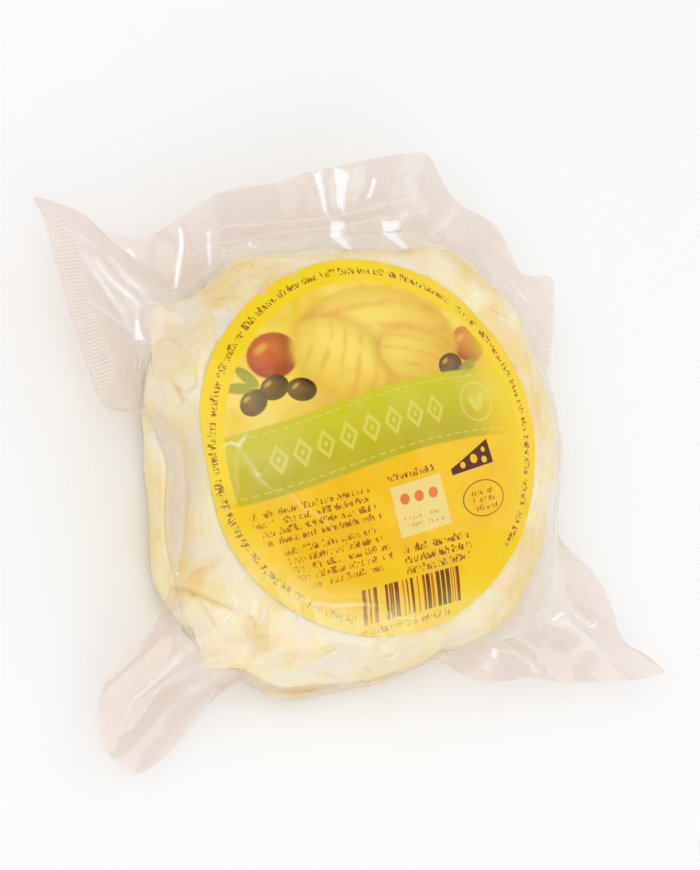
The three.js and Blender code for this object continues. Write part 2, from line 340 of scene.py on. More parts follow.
MOUTH_CREASES = [
    # streaks where the film is drawn down to the puck
    Crease([(-29, 63), (-31, 52.5), (-33, 46)], 0.90, 1.3),
    Crease([(-19.5, 62), (-22.5, 51), (-26, 47)], 0.60, 1.2),
    Crease([(-18, 55), (-16, 53), (-15, 50)], 0.50, 0.9),
    Crease([(-10, 56), (-8, 54), (-7, 52)], 0.50, 0.9),
    # sharp folds in the right half, either side of their glares
    Crease([(8, 69), (9.5, 64), (9, 59)], 0.80, 1.6),
    Crease([(13.5, 68), (12.5, 63), (12.5, 59)], 0.90, 2.0),
    Crease([(20.5, 68.5), (19.5, 64), (17, 58.5)], 0.90, 2.0),
    Crease([(24, 66), (22.5, 62), (20.5, 58.5)], 0.50, 1.1),
    Crease([(18, 54.5), (13, 52), (8.5, 50)], 0.80, 1.8),
    Crease([(31, 55.5), (26, 52), (24, 47.5)], 1.00, 2.6),
    Crease([(34, 48), (39, 51), (43.5, 54)], 0.70, 2.4),
    Crease([(36, 52), (33, 58), (32, 66)], 0.60, 3.0),
]

# The pouch's mouth is closed by two plain seals, seen as fine lines side by side.
MOUTH_SEALS = [
    Crease([
        (-28, 58), (-22, 59.5), (-14.5, 60.2), (-6, 59.2), (2, 58.6), (9, 58), (17, 57.6), (31, 58.5),
        (40, 60),
    ], 0.30, 0.60),
    Crease([
        (-34, 52), (-30, 54), (-24.5, 56.3), (-18, 57), (-12.5, 56.7), (-5, 56.6), (2, 56.4), (9, 55.6),
        (16.5, 55.2), (31, 55), (44, 55),
    ], 0.30, 0.60),
]

EAR_CREASES = [
    # where the upper web leaves the curd above the label
    Crease([
        (-44, 47), (-40, 46.8), (-31.5, 44.6), (-24, 44.8), (-20, 42.8), (-15, 43.5), (-8, 46), (6, 50),
    ], 0.60, 0.9),
    # long folds that run down the upper left ear to the curd
    Crease([(-53, 63), (-50, 55), (-45, 41.5)], 0.90, 1.5),
    Crease([(-50.5, 61), (-47, 54), (-41, 46)], 1.00, 1.6),
    Crease([(-47, 60.5), (-43, 54), (-37.5, 45)], 0.80, 1.2),
    Crease([(-56, 52), (-49, 45), (-43, 39)], 0.50, 1.6),
    Crease([(-55, 68), (-51, 64), (-47, 61)], 0.70, 1.6),
    Crease([(-44.5, 38), (-43.4, 43.2), (-42, 47)], 0.70, 0.8),
    Crease([(-42.5, 38), (-43, 41.5), (-43.4, 43.2)], 0.60, 0.8),
    # the long leaf-shaped fold of the lower left ear
    Crease([(-44, -26), (-48.7, -28.9), (-57.7, -34.4), (-65.3, -38.1), (-70.2, -44.5)], 0.70, 1.2),
    Crease([(-43, -33), (-50, -34), (-60, -37.5), (-67.4, -44.2), (-70.2, -44.5)], 0.45, 0.9),
    # soft folds of the lower right ear
    Crease([(24, -45), (30, -46), (38, -51)], 0.60, 1.2),
    Crease([(40.5, -44.5), (46, -47), (51, -53), (57, -60)], 1.00, 1.8),
    Crease([(44, -54), (48, -52.5), (53, -55)], 0.60, 1.6),
    Crease([(22, -47), (30, -50), (38, -57)], 0.60, 1.0),
    Crease([(34, -51), (36, -55), (38.5, -60)], 0.50, 0.9),
    Crease([(47, -44), (51, -48), (54, -49)], 0.70, 1.5),
]

SIDE_CREASES = [
    # left, where the folded rim meets the puck
    Crease([(-46, 26), (-43, 21), (-44, 11), (-44, 4), (-42, -4)], 0.50, 1.1),
    Crease([(-41, 12), (-42.5, 5), (-42, -2)], 0.35, 1.2),
    # the puck's side below the label
    Crease([(-37, -38), (-27, -41), (-16, -42.5), (-4, -43), (7, -43)], 0.35, 1.2),
    Crease([(-40, -14), (-38, -22), (-38, -30)], 0.40, 1.4),
    Crease([(-46, -10), (-42, -17), (-41, -24)], 0.40, 1.4),
    # right side
    Crease([(49, 40), (55, 33), (60, 24), (60.5, 10)], 0.50, 1.0),
    Crease([(50, 35), (55, 31), (59, 29)], 0.40, 1.2),
    Crease([(56, 0), (53.5, -14), (49, -24), (44, -40)], 0.45, 1.0),
]

# A patch is an ellipse in plan: its middle, half sizes, turn and amount.
Patch = namedtuple("Patch", "x y long wide turn amount")

# Where air or folded film lies over the curd, the film looks milky.
MILKY = [
    # painted highlight: a white facet of the film at the label's upper left
    Patch(-27.5, 37.0, 5.2, 3.0, 60, 0.40),
    Patch(-36, 41, 9, 6.5, 45, 0.45),
    Patch(-42, 24, 9, 4.0, 110, 0.35),
    Patch(-44, 12, 11, 3.6, 97, 0.45),
    Patch(-42, -13, 12, 5.0, 112, 0.40),
    Patch(-30, -33, 9.0, 5.0, -15, 0.36),
    Patch(-35, -33.5, 3.6, 2.0, 5, -0.45),
    Patch(-27.5, -31, 8.5, 2.2, 93, 0.45),
    Patch(-18, -36, 7.5, 2.2, -25, 0.40),
    Patch(-19, -42, 7, 2.4, -10, 0.50),
    Patch(-20, -41, 8, 1.6, -8, 0.45),
    Patch(-1, -43.5, 7, 1.4, 2, 0.35),
    # painted highlight: a white facet of the film by the tab
    Patch(52, 33, 4.5, 3.0, -58, 0.45),
    Patch(-10, -43, 16, 4.0, 0, 0.30),
    Patch(16, -45, 5, 2.6, -10, 0.35),
    Patch(45, -36, 12, 4.0, 48, 0.35),
]

# Milky places on the rim, in the folds of the ears and along the folded side.
RIM_MILKY = [
    Patch(-50, 2, 25, 5.0, 90, 0.45),
    Patch(-59, -34.5, 12, 1.5, 210, 0.12),
    Patch(-47, 52, 13, 3.5, 120, 0.35),
    Patch(-41, 53, 12, 2.0, 118, 0.25),
    # painted highlight on the blister at the foot of the lower right ear
    Patch(22.5, -49.5, 3.0, 2.2, 75, 0.45),
    Patch(45, -50, 9, 1.6, -25, 0.20),
    Patch(47, -35.5, 5.0, 1.2, 73, 0.35),
    Patch(54, -20, 14, 1.6, 100, 0.30),
]

# Painted highlights: white patches painted on the film where its creased facets would mirror the lamps. They
# are widest at the far end of their length.
GLARES = [
    # mouth
    Patch(10.0, 63.5, 5.2, 1.5, 92, 0.90),
    Patch(15.6, 63.2, 5.2, 2.6, 76, 1.00),
    Patch(22.4, 62.0, 2.4, 0.8, 60, 0.70),
    Patch(11.8, 52.6, 4.2, 2.6, 66, 0.90),
    Patch(25.4, 50.4, 4.0, 2.6, 78, 0.90),
    # upper left
    Patch(-30.6, 55.5, 6.5, 0.9, 79, 0.80),
    Patch(-21.4, 56.0, 4.5, 0.9, 74, 0.45),
    Patch(-10.0, 54.8, 1.6, 0.7, 120, 0.70),
    Patch(-40.9, 58.5, 1.6, 0.6, 130, 0.70),
    Patch(-18.0, 54.4, 1.2, 0.7, 20, 0.60),
    Patch(-43.7, 41.4, 2.4, 1.4, 262, 0.70),
    Patch(-27.5, 37.0, 4.4, 3.2, 60, 0.40),
    Patch(50.5, 31.5, 3.6, 2.8, 122, 0.30),
    # left
    Patch(-49.8, -13.6, 0.6, 0.6, 0, 0.90),
    Patch(-42.8, -25.8, 0.7, 0.5, 30, 0.60),
    # lower left and bottom
    Patch(-35.5, -27.0, 2.2, 0.9, 70, 0.45),
    Patch(-23.5, -30.0, 2.0, 0.8, -40, 0.45),
    Patch(-20.5, -39.5, 1.6, 0.8, 10, 0.55),
    Patch(-7.0, -43.6, 2.4, 0.6, 4, 0.40),
    # lower right ear
    Patch(23.4, -48.4, 1.3, 0.9, 60, 0.50),
    Patch(43.6, -44.8, 2.0, 0.8, 15, 0.50),
    Patch(53.0, -49.3, 1.6, 0.7, 0, 0.50),
]

# Blisters of the film on the rim: x, y, half width and height.
BLISTERS = [(22.5, -50, 6.5, 2.4), (47, -54, 7.0, 1.2), (56, -40, 6.0, 0.8), (-33, 58, 5.0, 0.6)]

# Golden places of the curd, along its sides beside the label.
GOLDEN_SIDES = [
    Patch(40, 41, 13, 5.5, -48, 1.00),
    Patch(44.0, 12, 30, 6.0, 96, 0.95),
    Patch(41, 22, 10, 4.0, 112, 0.60),
    Patch(52, 6, 26, 6.0, 96, 0.45),
    Patch(37, -34, 24, 10.0, 45, 1.00),
    Patch(34, -29, 10, 4.0, 48, 0.50),
    Patch(18, 48, 16, 3.6, -4, 0.75),
    Patch(-17, 47, 12, 6.5, 18, 0.80),
    Patch(-36, 36, 12, 7.0, 50, 0.30),
    Patch(-50, 2, 24, 6.0, 92, 0.70),
    Patch(-46, -18, 6, 3.0, -40, 0.60),
    Patch(-39, -30, 6, 3.5, -35, 0.55),
    Patch(-35, -33.5, 4.5, 2.6, 5, 0.85),
    Patch(-22, -46.5, 5, 1.6, -8, 1.00),
    Patch(8, -47, 14, 3.0, 4, 0.50),
    Patch(-3, -45.5, 13, 3.5, -2, 0.70),
]


def ridge(places, crease):
    """Height of a crease over places: sharp on its line, and running out at its ends."""
    route = np.array(crease.route, float)
    lengths = np.linalg.norm(np.diff(route, axis=0), axis=1)
    starts = np.concatenate([[0], np.cumsum(lengths)])
    near = np.full(places.shape[:-1], np.inf)
    along = np.zeros(places.shape[:-1])
    for begin, end, start, length in zip(route[:-1], route[1:], starts, lengths):
        step = end - begin
        share = np.clip(((places[..., :2] - begin) @ step) / length**2, 0, 1)
        gap = np.linalg.norm(places[..., :2] - begin - share[..., None] * step, axis=-1)
        closer = gap < near
        near = np.where(closer, gap, near)
        along = np.where(closer, (start + share * length) / starts[-1], along)
    tent = np.clip(1 - near / crease.width, 0, 1) ** 1.25
    return crease.height * tent * np.sqrt(np.sin(math.pi * np.clip(along, 0.02, 0.98)))


def ridges(places, *groups):
    return sum(ridge(places, crease) for group in groups for crease in group)


def in_patch(places, patch):
    """How far places are from a patch's middle along and across it, in units of its half sizes."""
    turn = math.radians(patch.turn)
    x, y = places[..., 0] - patch.x, places[..., 1] - patch.y
    along = (x * math.cos(turn) + y * math.sin(turn)) / patch.long
    across = (y * math.cos(turn) - x * math.sin(turn)) / patch.wide
    return along, across


def patches(places, group, seed):
    """How much of a group's patches lies at each place, with uneven edges that fade out."""
    wander = 0.14 * waves(places, 5.5, seed)
    total = np.zeros(places.shape[:-1])
    for patch in group:
        along, across = in_patch(places, patch)
        total += patch.amount * (1 - smoothstep(np.hypot(along, across) + wander, 0.30, 1.15))
    return np.clip(total, 0, 1)


def glares(places):
    """How much of a glare lies at each place: crisp at its ends and one side, and faded at the other."""
    wander = 0.08 * waves(places, 3.5, seed=34)
    total = np.zeros(places.shape[:-1])
    for patch in GLARES:
        along, across = in_patch(places, patch)
        across = across * (1.4 - 0.6 * np.clip(along, -1, 1))
        crisp = 1 - smoothstep(across + wander, 0.70, 1.10)
        soft = smoothstep(across, -1.3, 0.3)
        ends = 1 - smoothstep(np.abs(along) + wander, 0.75, 1.08)
        total += patch.amount * crisp * soft * ends
    return total


def blisters(places):
    total = np.zeros(places.shape[:-1])
    for x, y, size, height in BLISTERS:
        out = np.hypot(places[..., 0] - x, places[..., 1] - y) / size
        total += height * np.clip(1 - out**2, 0, 1) ** 1.5
    return total


def scattered_creases(seed, count, inner, outer, height, width):
    """Short creases at seeded places between two distances from the middle, radial or square to it."""
    draw = np.random.default_rng(seed)
    made = []
    for _ in range(count):
        angle = draw.uniform(0, 360)
        middle = polar(angle, draw.uniform(inner, outer), 0)[:2]
        heading = math.radians(angle + draw.normal(0, 35) + draw.choice([0, 90]))
        reach = draw.uniform(2, 6) * np.array([math.cos(heading), math.sin(heading)])
        sag = draw.uniform(-1, 1) * np.array([-reach[1], reach[0]]) * 0.25
        route = [middle - reach, middle + sag, middle + reach]
        made.append(Crease(route, draw.uniform(0.4, 1.0) * height, draw.uniform(0.6, 1.0) * width))
    return made


SHOULDER_CREASES = scattered_creases(11, 46, LABEL.radius + 1, CHEESE.radius + 1, height=0.26, width=1.2)
RIM_CREASES = scattered_creases(12, 90, CHEESE.radius + 5, CHEESE.radius + 34, height=0.34, width=0.9)


def heights_below(tree, places, start):
    """Height of the surface under each place in plan, or nan where there is none."""
    down = Vector((0, 0, -1))
    hits = (tree.ray_cast(Vector((x, y, start)), down)[0] for x, y in places.reshape(-1, 2).tolist())
    heights = [np.nan if hit is None else hit.z for hit in hits]
    return np.array(heights).reshape(places.shape[:-1])


def crumple(places, spacing, seed):
    """Flat facets between seeded points in plan, as stiff film takes when it is crushed: about -1 to 1."""
    draw = np.random.default_rng(seed)
    reach = 90
    ticks = np.arange(-reach, reach + spacing, spacing, dtype=float)
    x, y = np.meshgrid(ticks, ticks)
    corners = np.stack([x, y, np.zeros_like(x)], axis=-1)
    corners[..., :2] += draw.uniform(-0.38, 0.38, corners[..., :2].shape) * spacing
    corners[..., 2] = draw.uniform(-1, 1, x.shape)
    across = len(ticks)
    faces = []
    for row in range(across - 1):
        for column in range(across - 1):
            a = row * across + column
            b, c, d = a + 1, a + across + 1, a + across
            flip = draw.random() < 0.5
            faces += [(a, b, c), (a, c, d)] if flip else [(a, b, d), (b, c, d)]
    tree = BVHTree.FromPolygons(corners.reshape(-1, 3).tolist(), faces)
    return heights_below(tree, places[..., :2], start=5)


# ---- the skins ----


# Soft swells of the curd, which the film follows: their height over and under the pack.
LUMPS = SimpleNamespace(over=0.16, under=0.22)


def broad_swells(places):
    return waves(places, 13, seed=3)


def small_swells(places):
    return waves(places, 8, seed=4)


def beside_label(places):
    """0 under the label and 1 beside it, with a soft way between."""
    out = np.hypot(places[..., 0], places[..., 1] - LABEL.y)
    return smoothstep(out, LABEL.radius - 4, LABEL.radius + 3)


def lumps(places):
    """Soft swells of the curd, next to none under the label."""
    off_label = beside_label(places)
    broad = LUMPS.over * broad_swells(places) * (0.3 + 0.7 * off_label)
    return broad + LUMPS.over * small_swells(places) * off_label


def on_the_rim(out):
    """0 at the rim's root and 1 a little way out from it."""
    return smoothstep(out, 0, 0.12)


def rim_relief(places, out, folded):
    """How far the rim's two webs stray from flat: soft folds and crushed facets, less towards the edge."""
    free = smoothstep(out, 0, 0.25) * (1 - folded)
    facets = 0.7 * crumple(places, 11.0, seed=21) + 0.3 * crumple(places, 5.5, seed=22)
    return free * (0.55 * facets * (1 - 0.5 * out) + 0.35 * waves(places, 16, seed=7))


def webs_apart(out):
    """Half the gap between the rim's two webs: open at the root, and closed by the seal."""
    sealed = smoothstep(out, 0.1, 0.8)
    half = 0.5 * (RIM.thickness * (1 - sealed) + RIM.sealed_gap * sealed)
    return np.where(out > 0, half * (1 - out**8), 0)


# How milky the film is made by air under it, by its seals, and where it hangs loose or is folded, with
# white painted on its glares and creases as highlights. A crease's painted highlight is full where the
# crease is full_crease high.
MILK = SimpleNamespace(
    air=0.34, dapple=0.5, seal=2.0, glare=1.8, crease=0.30, rim_crease=0.45, full_crease=0.7, loose=0.35,
    folded=0.15, most=1.6,
)

# How much of a crease's height shows as relief, and how far the film dips under the label.
CREASE_RELIEF = 0.6
LABEL_DIP = 0.3


def air_under_film(places, off_label):
    """How much air lies between the film and the curd: in patches, and in dapples off the label."""
    dapples = smoothstep(waves(places, 9, seed=35), 0.1, 1.1)
    return patches(places, MILKY, seed=31) + MILK.dapple * dapples * off_label


def upper_film():
    """Rings of the upper web, from the label's middle to the rim's edge, with its slackness and its
    milkiness, which holds painted highlights.
    """
    s = sections(FILM.around)
    under_label = [crown_ring(s, share) for share in shares(FILM.crown_rings)]
    wall = [wall_ring(s, share) for share in shares(FILM.wall_rings)]
    rim = [rim_ring(s, out) for out in shares(FILM.rim_rings)]
    rings = np.array(under_label + wall + rim)
    out = np.concatenate([np.zeros(len(under_label) + len(wall)), shares(FILM.rim_rings)])[:, None]
    on_rim = on_the_rim(out)
    folds = ridges(rings, LABEL_CREASES, MOUTH_CREASES, EAR_CREASES, SIDE_CREASES, SHOULDER_CREASES)
    folds += ridges(rings, RIM_CREASES) * on_rim
    seals = ridges(rings, MOUTH_SEALS) * on_rim
    relief = lumps(rings) * (1 - on_rim) + CREASE_RELIEF * folds - seals + blisters(rings) * on_rim
    relief += rim_relief(rings, out, s.folded) + webs_apart(out)
    off_label = smoothstep(np.arange(len(rings)), FILM.crown_rings - 2, FILM.crown_rings - 0.5)
    relief -= LABEL_DIP * (1 - off_label)[:, None]
    points = rings + grid_normals(rings) * relief[..., None]
    down = np.concatenate([np.zeros(len(under_label)), shares(FILM.wall_rings), np.ones(len(rim))])[:, None]
    loose = smoothstep(s.root_radius - s.radius, 2, 8) * smoothstep(down, 0.35, 1)
    air = air_under_film(rings, smoothstep(down, 0.02, 0.2))
    milk_and_glint = MILK.air * air * (1 - on_rim) + patches(rings, RIM_MILKY, seed=32) * on_rim
    milk_and_glint += MILK.loose * loose * (1 - smoothstep(out, 0, 0.4)) + MILK.seal * seals
    # Painted highlights: the film is painted whiter along its creases, where their ridges would catch the
    # lamps.
    milk_and_glint += (MILK.crease + MILK.rim_crease * on_rim) * np.clip(folds / MILK.full_crease, 0, 1) ** 1.2
    milk_and_glint += MILK.glare * glares(rings)
    slack_and_shade = np.maximum(on_rim, loose) * (1 - FOLDED_CLING * s.folded)
    return points, slack_and_shade, np.clip(milk_and_glint, 0, MILK.most)


def lower_film():
    """Rings of the lower web, from the rim's edge to the flat underside, with its slackness and milkiness.
    """
    s = sections(BACK.around)
    outs = 1 - shares(BACK.rim_rings, first=0)
    rim = [rim_ring(s, out) for out in outs]
    belly = [belly_ring(s, share) for share in shares(BACK.belly_rings)]
    rings = np.array(rim + belly)
    out = np.concatenate([outs, np.zeros(BACK.belly_rings)])[:, None]
    share = np.concatenate([np.zeros(len(outs)), shares(BACK.belly_rings)])[:, None]
    on_rim = on_the_rim(out)
    relief = webs_apart(out) - rim_relief(rings, out, s.folded)
    relief -= CREASE_RELIEF * ridges(rings, MOUTH_CREASES, EAR_CREASES) * on_rim
    off_floor = np.sin(math.pi * share) ** 0.7
    relief += off_floor * LUMPS.under * (broad_swells(rings) + small_swells(rings))
    points = rings + grid_normals(rings) * relief[..., None]
    return points, on_rim * (1 - FOLDED_CLING * s.folded), MILK.folded * s.folded * on_rim


# Splits between the wound strands: a route in plan, how deep from 0 to 1, and half width.
FISSURES = [
    # left, above and below the folded side
    Crease([(-51, -15.5), (-47.9, -19.2), (-43.5, -23), (-40.5, -25.5)], 0.85, 1.1),
    Crease([(-50, -16.5), (-46, -24), (-43.5, -30)], 0.55, 1.0),
    Crease([(-39, -26), (-37.5, -28), (-37.5, -30.5)], 0.70, 0.9),
    Crease([(-45, -30), (-40, -32), (-34, -32)], 0.45, 1.6),
    Crease([(-52, 6), (-53, -4), (-53, -12)], 0.50, 1.8),
    # lumps of curd at the upper left
    Crease([(-41.6, 30), (-41.4, 26.8), (-41.4, 23.4), (-43.1, 22.6)], 0.75, 0.9),
    Crease([(-42, 27), (-40, 25.5), (-38, 26), (-37, 30)], 0.60, 0.9),
    Crease([(-42, 34), (-40, 38), (-38, 38.7), (-37, 37), (-37.4, 33.9)], 0.50, 0.9),
    Crease([(-23, 44), (-26.4, 46), (-23, 49.3), (-19.5, 51.3), (-14, 51.3), (-11.5, 47.8)], 0.55, 1.0),
    Crease([(-11.5, 47), (-15.3, 44.8), (-19, 44.1)], 0.50, 1.0),
    Crease([(-26, 44), (-20, 47), (-10, 49)], 0.40, 1.4),
    Crease([(-12, 52), (-4, 51), (4, 53)], 0.50, 1.4),
    # upper right, right and bottom
    Crease([(40, 44), (46, 38), (51, 31)], 0.50, 1.4),
    Crease([(50, 24), (53, 17), (54, 8)], 0.40, 1.4),
    Crease([(-29, -45), (-24, -46.5), (-18, -48)], 1.00, 1.3),
]


def fissures(places):
    """How deep the curd is split at each place, from 0 to 1."""
    angle = np.degrees(np.arctan2(places[..., 1], places[..., 0]))
    slant = np.sin(np.radians(7 * angle + 11 * places[..., 2]) + 1.8 * waves(places, 24, seed=8))
    seams = smoothstep(slant, 0.90, 1.0) * smoothstep(waves(places, 18, seed=9), 0.1, 0.9)
    return np.clip(0.45 * seams + ridges(places, FISSURES), 0, 1)


def fibres(places):
    """The curd's fine strands, which slant round the puck: about -1 to 1."""
    around = CHEESE.radius * np.unwrap(np.arctan2(places[..., 1], places[..., 0]), axis=-1)
    climb = places[..., 2] - 0.6 * np.hypot(places[..., 0], places[..., 1])
    lay = 0.32 * around + climb + 2.2 * waves(places, 15, seed=36)
    return 0.7 * np.sin(lay * 2 * math.pi / 2.3) + 0.3 * np.sin(lay * 2 * math.pi / 1.3 + 1.0)


# The curd lies this far under the film and above the floor; how deep its splits and strands are.
UNDER_FILM = SimpleNamespace(inset=0.45, floor=0.3, split=0.9, strand=0.06)


def curd_rings():
    """Rings of the curd under the film, with how split, golden, pale and fibrous it is."""
    s = sections(CURD.around)
    s.radius = s.radius - sum_of(s.angle, STANDOFFS)
    s.root_radius = np.minimum(s.root_radius, s.radius + 0.4 + sum_of(s.angle, TOES))
    crown = [crown_ring(s, share) for share in shares(CURD.crown_rings)]
    wall = [wall_ring(s, share) for share in shares(CURD.wall_rings)]
    belly = [belly_ring(s, share) for share in shares(CURD.belly_rings)]
    rings = np.array(crown + wall + belly)
    off_label = beside_label(rings)
    depth = fissures(rings)
    strand = fibres(rings) * off_label
    relief = lumps(rings) - UNDER_FILM.inset - UNDER_FILM.split * depth * off_label
    relief += UNDER_FILM.strand * strand
    points = rings + grid_normals(rings) * relief[..., None]
    points[..., 2] = np.maximum(points[..., 2], UNDER_FILM.floor)
    looks = {
        "depth": depth, "golden_side": patches(rings, GOLDEN_SIDES, seed=33), "strand": 0.5 + 0.5 * strand,
        "pale": air_under_film(rings, off_label),
    }
    return points, looks


def label_rings():
    """Rings of the label's face, then of its back, which is a little lower, with how creased they are."""
    s = sections(SHEET.around)
    out = np.sin(0.5 * math.pi * shares(SHEET.rings))
    rings = np.array([crown_ring(s, share) for share in out])
    folds = ridges(rings, LABEL_CREASES)
    face = rings + grid_normals(rings) * (lumps(rings) + CREASE_RELIEF * folds)[..., None]
    face += (0, 0, SHEET.lift)
    back = face[::-1] - (0, 0, SHEET.thickness)
    return np.concatenate([face, back]), np.concatenate([folds, folds[::-1]])


# ---- ribbed seals ----

RIBS = SimpleNamespace(pitch=0.853, columns=6, rows=14, height=0.11, inset=0.35, lift=0.05, milk_and_glint=0.7)

# Stretches of the rim's edge with a ribbed seal, by station of RIM_EDGE, the seal's width, and how
# deep its ribs are beside the deepest ones.
RIBBED = [
    (3.3, 9.0, 6.4, 0.8), (10.7, 14.2, 5.6, 0.6), (34.6, 41.0, 6.5, 1.0), (50.3, 54.0, 5.0, 0.2),
    (58.3, 60.9, 5.0, 0.5),
]


# How many points the rim's edge is walked in, to find where a seal starts and ends.
EDGE_POINTS = 8000


def edge_stretch(first, last):
    """Points a fraction of a rib apart, along the rim's edge between two of its stations."""
    curve = closed_curve(RIM_EDGE, EDGE_POINTS)
    stations = np.array(RIM_EDGE, float)

    def index(station):
        low = stations[int(station)]
        high = stations[int(station) + 1]
        place = low + (high - low) * (station % 1)
        return np.argmin(np.linalg.norm(curve - place, axis=1))

    part = curve[index(first):index(last) + 1]
    along = np.concatenate([[0], np.cumsum(np.linalg.norm(np.diff(part, axis=0), axis=1))])
    steps = np.arange(0, along[-1], RIBS.pitch / RIBS.columns)
    return steps, np.stack([np.interp(steps, along, part[:, axis]) for axis in range(3)], axis=-1)


def rib_strip(first, last, width, depth, rim):
    """A strip of fine ribs square to the edge, laid on the film's upper rim."""
    steps, edge = edge_stretch(first, last)
    ahead = np.gradient(edge[:, :2], axis=0)
    window = 4 * RIBS.columns
    padded = np.pad(ahead, ((window, window), (0, 0)), mode="edge")
    ahead = unit(np.stack([running_mean(padded[:, axis], window) for axis in range(2)], axis=-1))
    inward = np.stack([-ahead[:, 1], ahead[:, 0]], axis=-1)
    taper = smoothstep(np.minimum(steps, steps[-1] - steps), -2, 7)
    in_by = RIBS.inset + (width - RIBS.inset) * np.linspace(0, 1, RIBS.rows)[:, None] * taper
    plan = edge[None, :, :2] + inward[None] * in_by[..., None]
    heights = heights_below(rim, plan, start=60)
    heights = np.where(np.isnan(heights), np.nanmedian(heights), heights)
    ends = smoothstep(np.minimum(steps, steps[-1] - steps), 0, 1.5)
    sides = np.sin(math.pi * np.linspace(0.08, 0.92, RIBS.rows)) ** 0.5
    wave = np.sin(2 * math.pi * steps / RIBS.pitch)
    rib = depth * wave[None] * ends[None] * sides[:, None]
    points = np.dstack([plan, heights + RIBS.lift + RIBS.height * (1 + rib)])
    return points, 0.5 + 0.5 * rib, np.broadcast_to(sides[:, None], rib.shape)


# ---- meshes ----


def grid_faces(rings, around):
    """Quads between neighbouring closed rings of points."""
    ring = np.arange(rings - 1)[:, None] * around
    i = np.arange(around)[None, :]
    j = (i + 1) % around
    quads = np.stack([ring + i, ring + around + i, ring + around + j, ring + j], axis=-1)
    return quads.reshape(-1, 4).tolist()


def strip_faces(rows, columns):
    """Quads of an open strip of rows of points."""
    row = np.arange(rows - 1)[:, None] * columns
    i = np.arange(columns - 1)[None, :]
    quads = np.stack([row + i, row + i + 1, row + columns + i + 1, row + columns + i], axis=-1)
    return quads.reshape(-1, 4).tolist()


def fan_faces(middle, ring_start, around, up):
    faces = []
    for i in range(around):
        a, b = ring_start + i, ring_start + (i + 1) % around
        faces.append((middle, a, b) if up else (middle, b, a))
    return faces


def make_piece(name, points, faces, material, node, attributes):
    """A smooth mesh from points in millimetres, riding on the root body in place of a CAD node."""
    mesh = bpy.data.meshes.new(name)
    mesh.from_pydata((np.asarray(points) * MM).tolist(), [], faces)
    for label, values in attributes.items():
        mesh.attributes.new(label, "FLOAT", "POINT").data.foreach_set("value", np.ravel(values))
    mesh.shade_smooth()
    mesh.materials.append(material)
    piece = bpy.data.objects.new(name, mesh)
    bpy.context.scene.collection.objects.link(piece)
    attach(piece, "root")
    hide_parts(node)
    return piece


def capped_skin(rings, top=None, bottom=None):
    """Points and faces of a skin of closed rings, closed at the top or bottom by a middle point."""
    count, around = rings.shape[:2]
    points = rings.reshape(-1, 3)
    faces = grid_faces(count, around)
    if top is not None:
        points = np.vstack([points, top])
        faces += fan_faces(len(points) - 1, 0, around, up=True)
    if bottom is not None:
        points = np.vstack([points, bottom])
        faces += fan_faces(len(points) - 1, (count - 1) * around, around, up=False)
    return points, faces


# ---- nodes ----


def add(tree, kind, inputs=None, **settings):
    """A new node with its settings, and its inputs set to numbers or joined to sockets."""
    made = tree.nodes.new(kind)
    for name, value in settings.items():
        setattr(made, name, value)
    for name, value in (inputs or {}).items():
        join(tree, value, made.inputs[name])
    return made


def join(tree, value, socket):
    if isinstance(value, Number):
        value = value.socket
    if isinstance(value, bpy.types.NodeSocket):
        tree.links.new(value, socket)
    else:
        socket.default_value = value


class Number:
    """A number that nodes work out, to be added, scaled and compared like any other."""

    def __init__(self, tree, socket):
        self.tree = tree
        self.socket = socket

    def math(self, operation, *others):
        inputs = dict(enumerate((self, *others)))
        return Number(self.tree, add(self.tree, "ShaderNodeMath", inputs, operation=operation).outputs[0])

    def __add__(self, other):
        return self.math("ADD", other)

    def __sub__(self, other):
        return self.math("SUBTRACT", other)

    def __mul__(self, other):
        return self.math("MULTIPLY", other)

    def __truediv__(self, other):
        return self.math("DIVIDE", other)

    def __pow__(self, other):
        return self.math("POWER", other)

    def __abs__(self):
        return self.math("ABSOLUTE")

    def above(self, limit):
        return self.math("GREATER_THAN", limit)

    def below(self, limit):
        return self.math("LESS_THAN", limit)

    def either(self, other):
        return self.math("MAXIMUM", other)

    def ramp(self, low, high, start=0.0, end=1.0):
        """start below low, end above high, and a smooth way between them."""
        inputs = {"Value": self, "From Min": low, "From Max": high, "To Min": start, "To Max": end}
        made = add(self.tree, "ShaderNodeMapRange", inputs, interpolation_type="SMOOTHSTEP")
        return Number(self.tree, made.outputs["Result"])


def new_material(name):
    material = bpy.data.materials.new(name)
    material.use_nodes = True
    material.node_tree.nodes.clear()
    return material, material.node_tree


def finish_material(tree, shader):
    output = tree.nodes.new("ShaderNodeOutputMaterial")
    tree.links.new(shader, output.inputs["Surface"])


def object_place(tree):
    """The place in the row frame, in millimetres."""
    coordinates = add(tree, "ShaderNodeTexCoord").outputs["Object"]
    return add(tree, "ShaderNodeVectorMath", {0: coordinates, "Scale": 1000.0}, operation="SCALE").outputs[0]


def noise(tree, place, size, detail=3.0, roughness=0.5, distortion=0.0):
    """Noise, about 0 to 1, whose features are size millimetres across."""
    inputs = {
        "Vector": place, "Scale": 1 / size, "Detail": detail, "Roughness": roughness,
        "Distortion": distortion,
    }
    return Number(tree, add(tree, "ShaderNodeTexNoise", inputs).outputs["Fac"])


def attribute(tree, name):
    return Number(tree, add(tree, "ShaderNodeAttribute", attribute_name=name).outputs["Fac"])


def bumps(tree, height, strength, distance):
    return add(
        tree, "ShaderNodeBump", {"Height": height, "Strength": strength, "Distance": distance}
    ).outputs["Normal"]


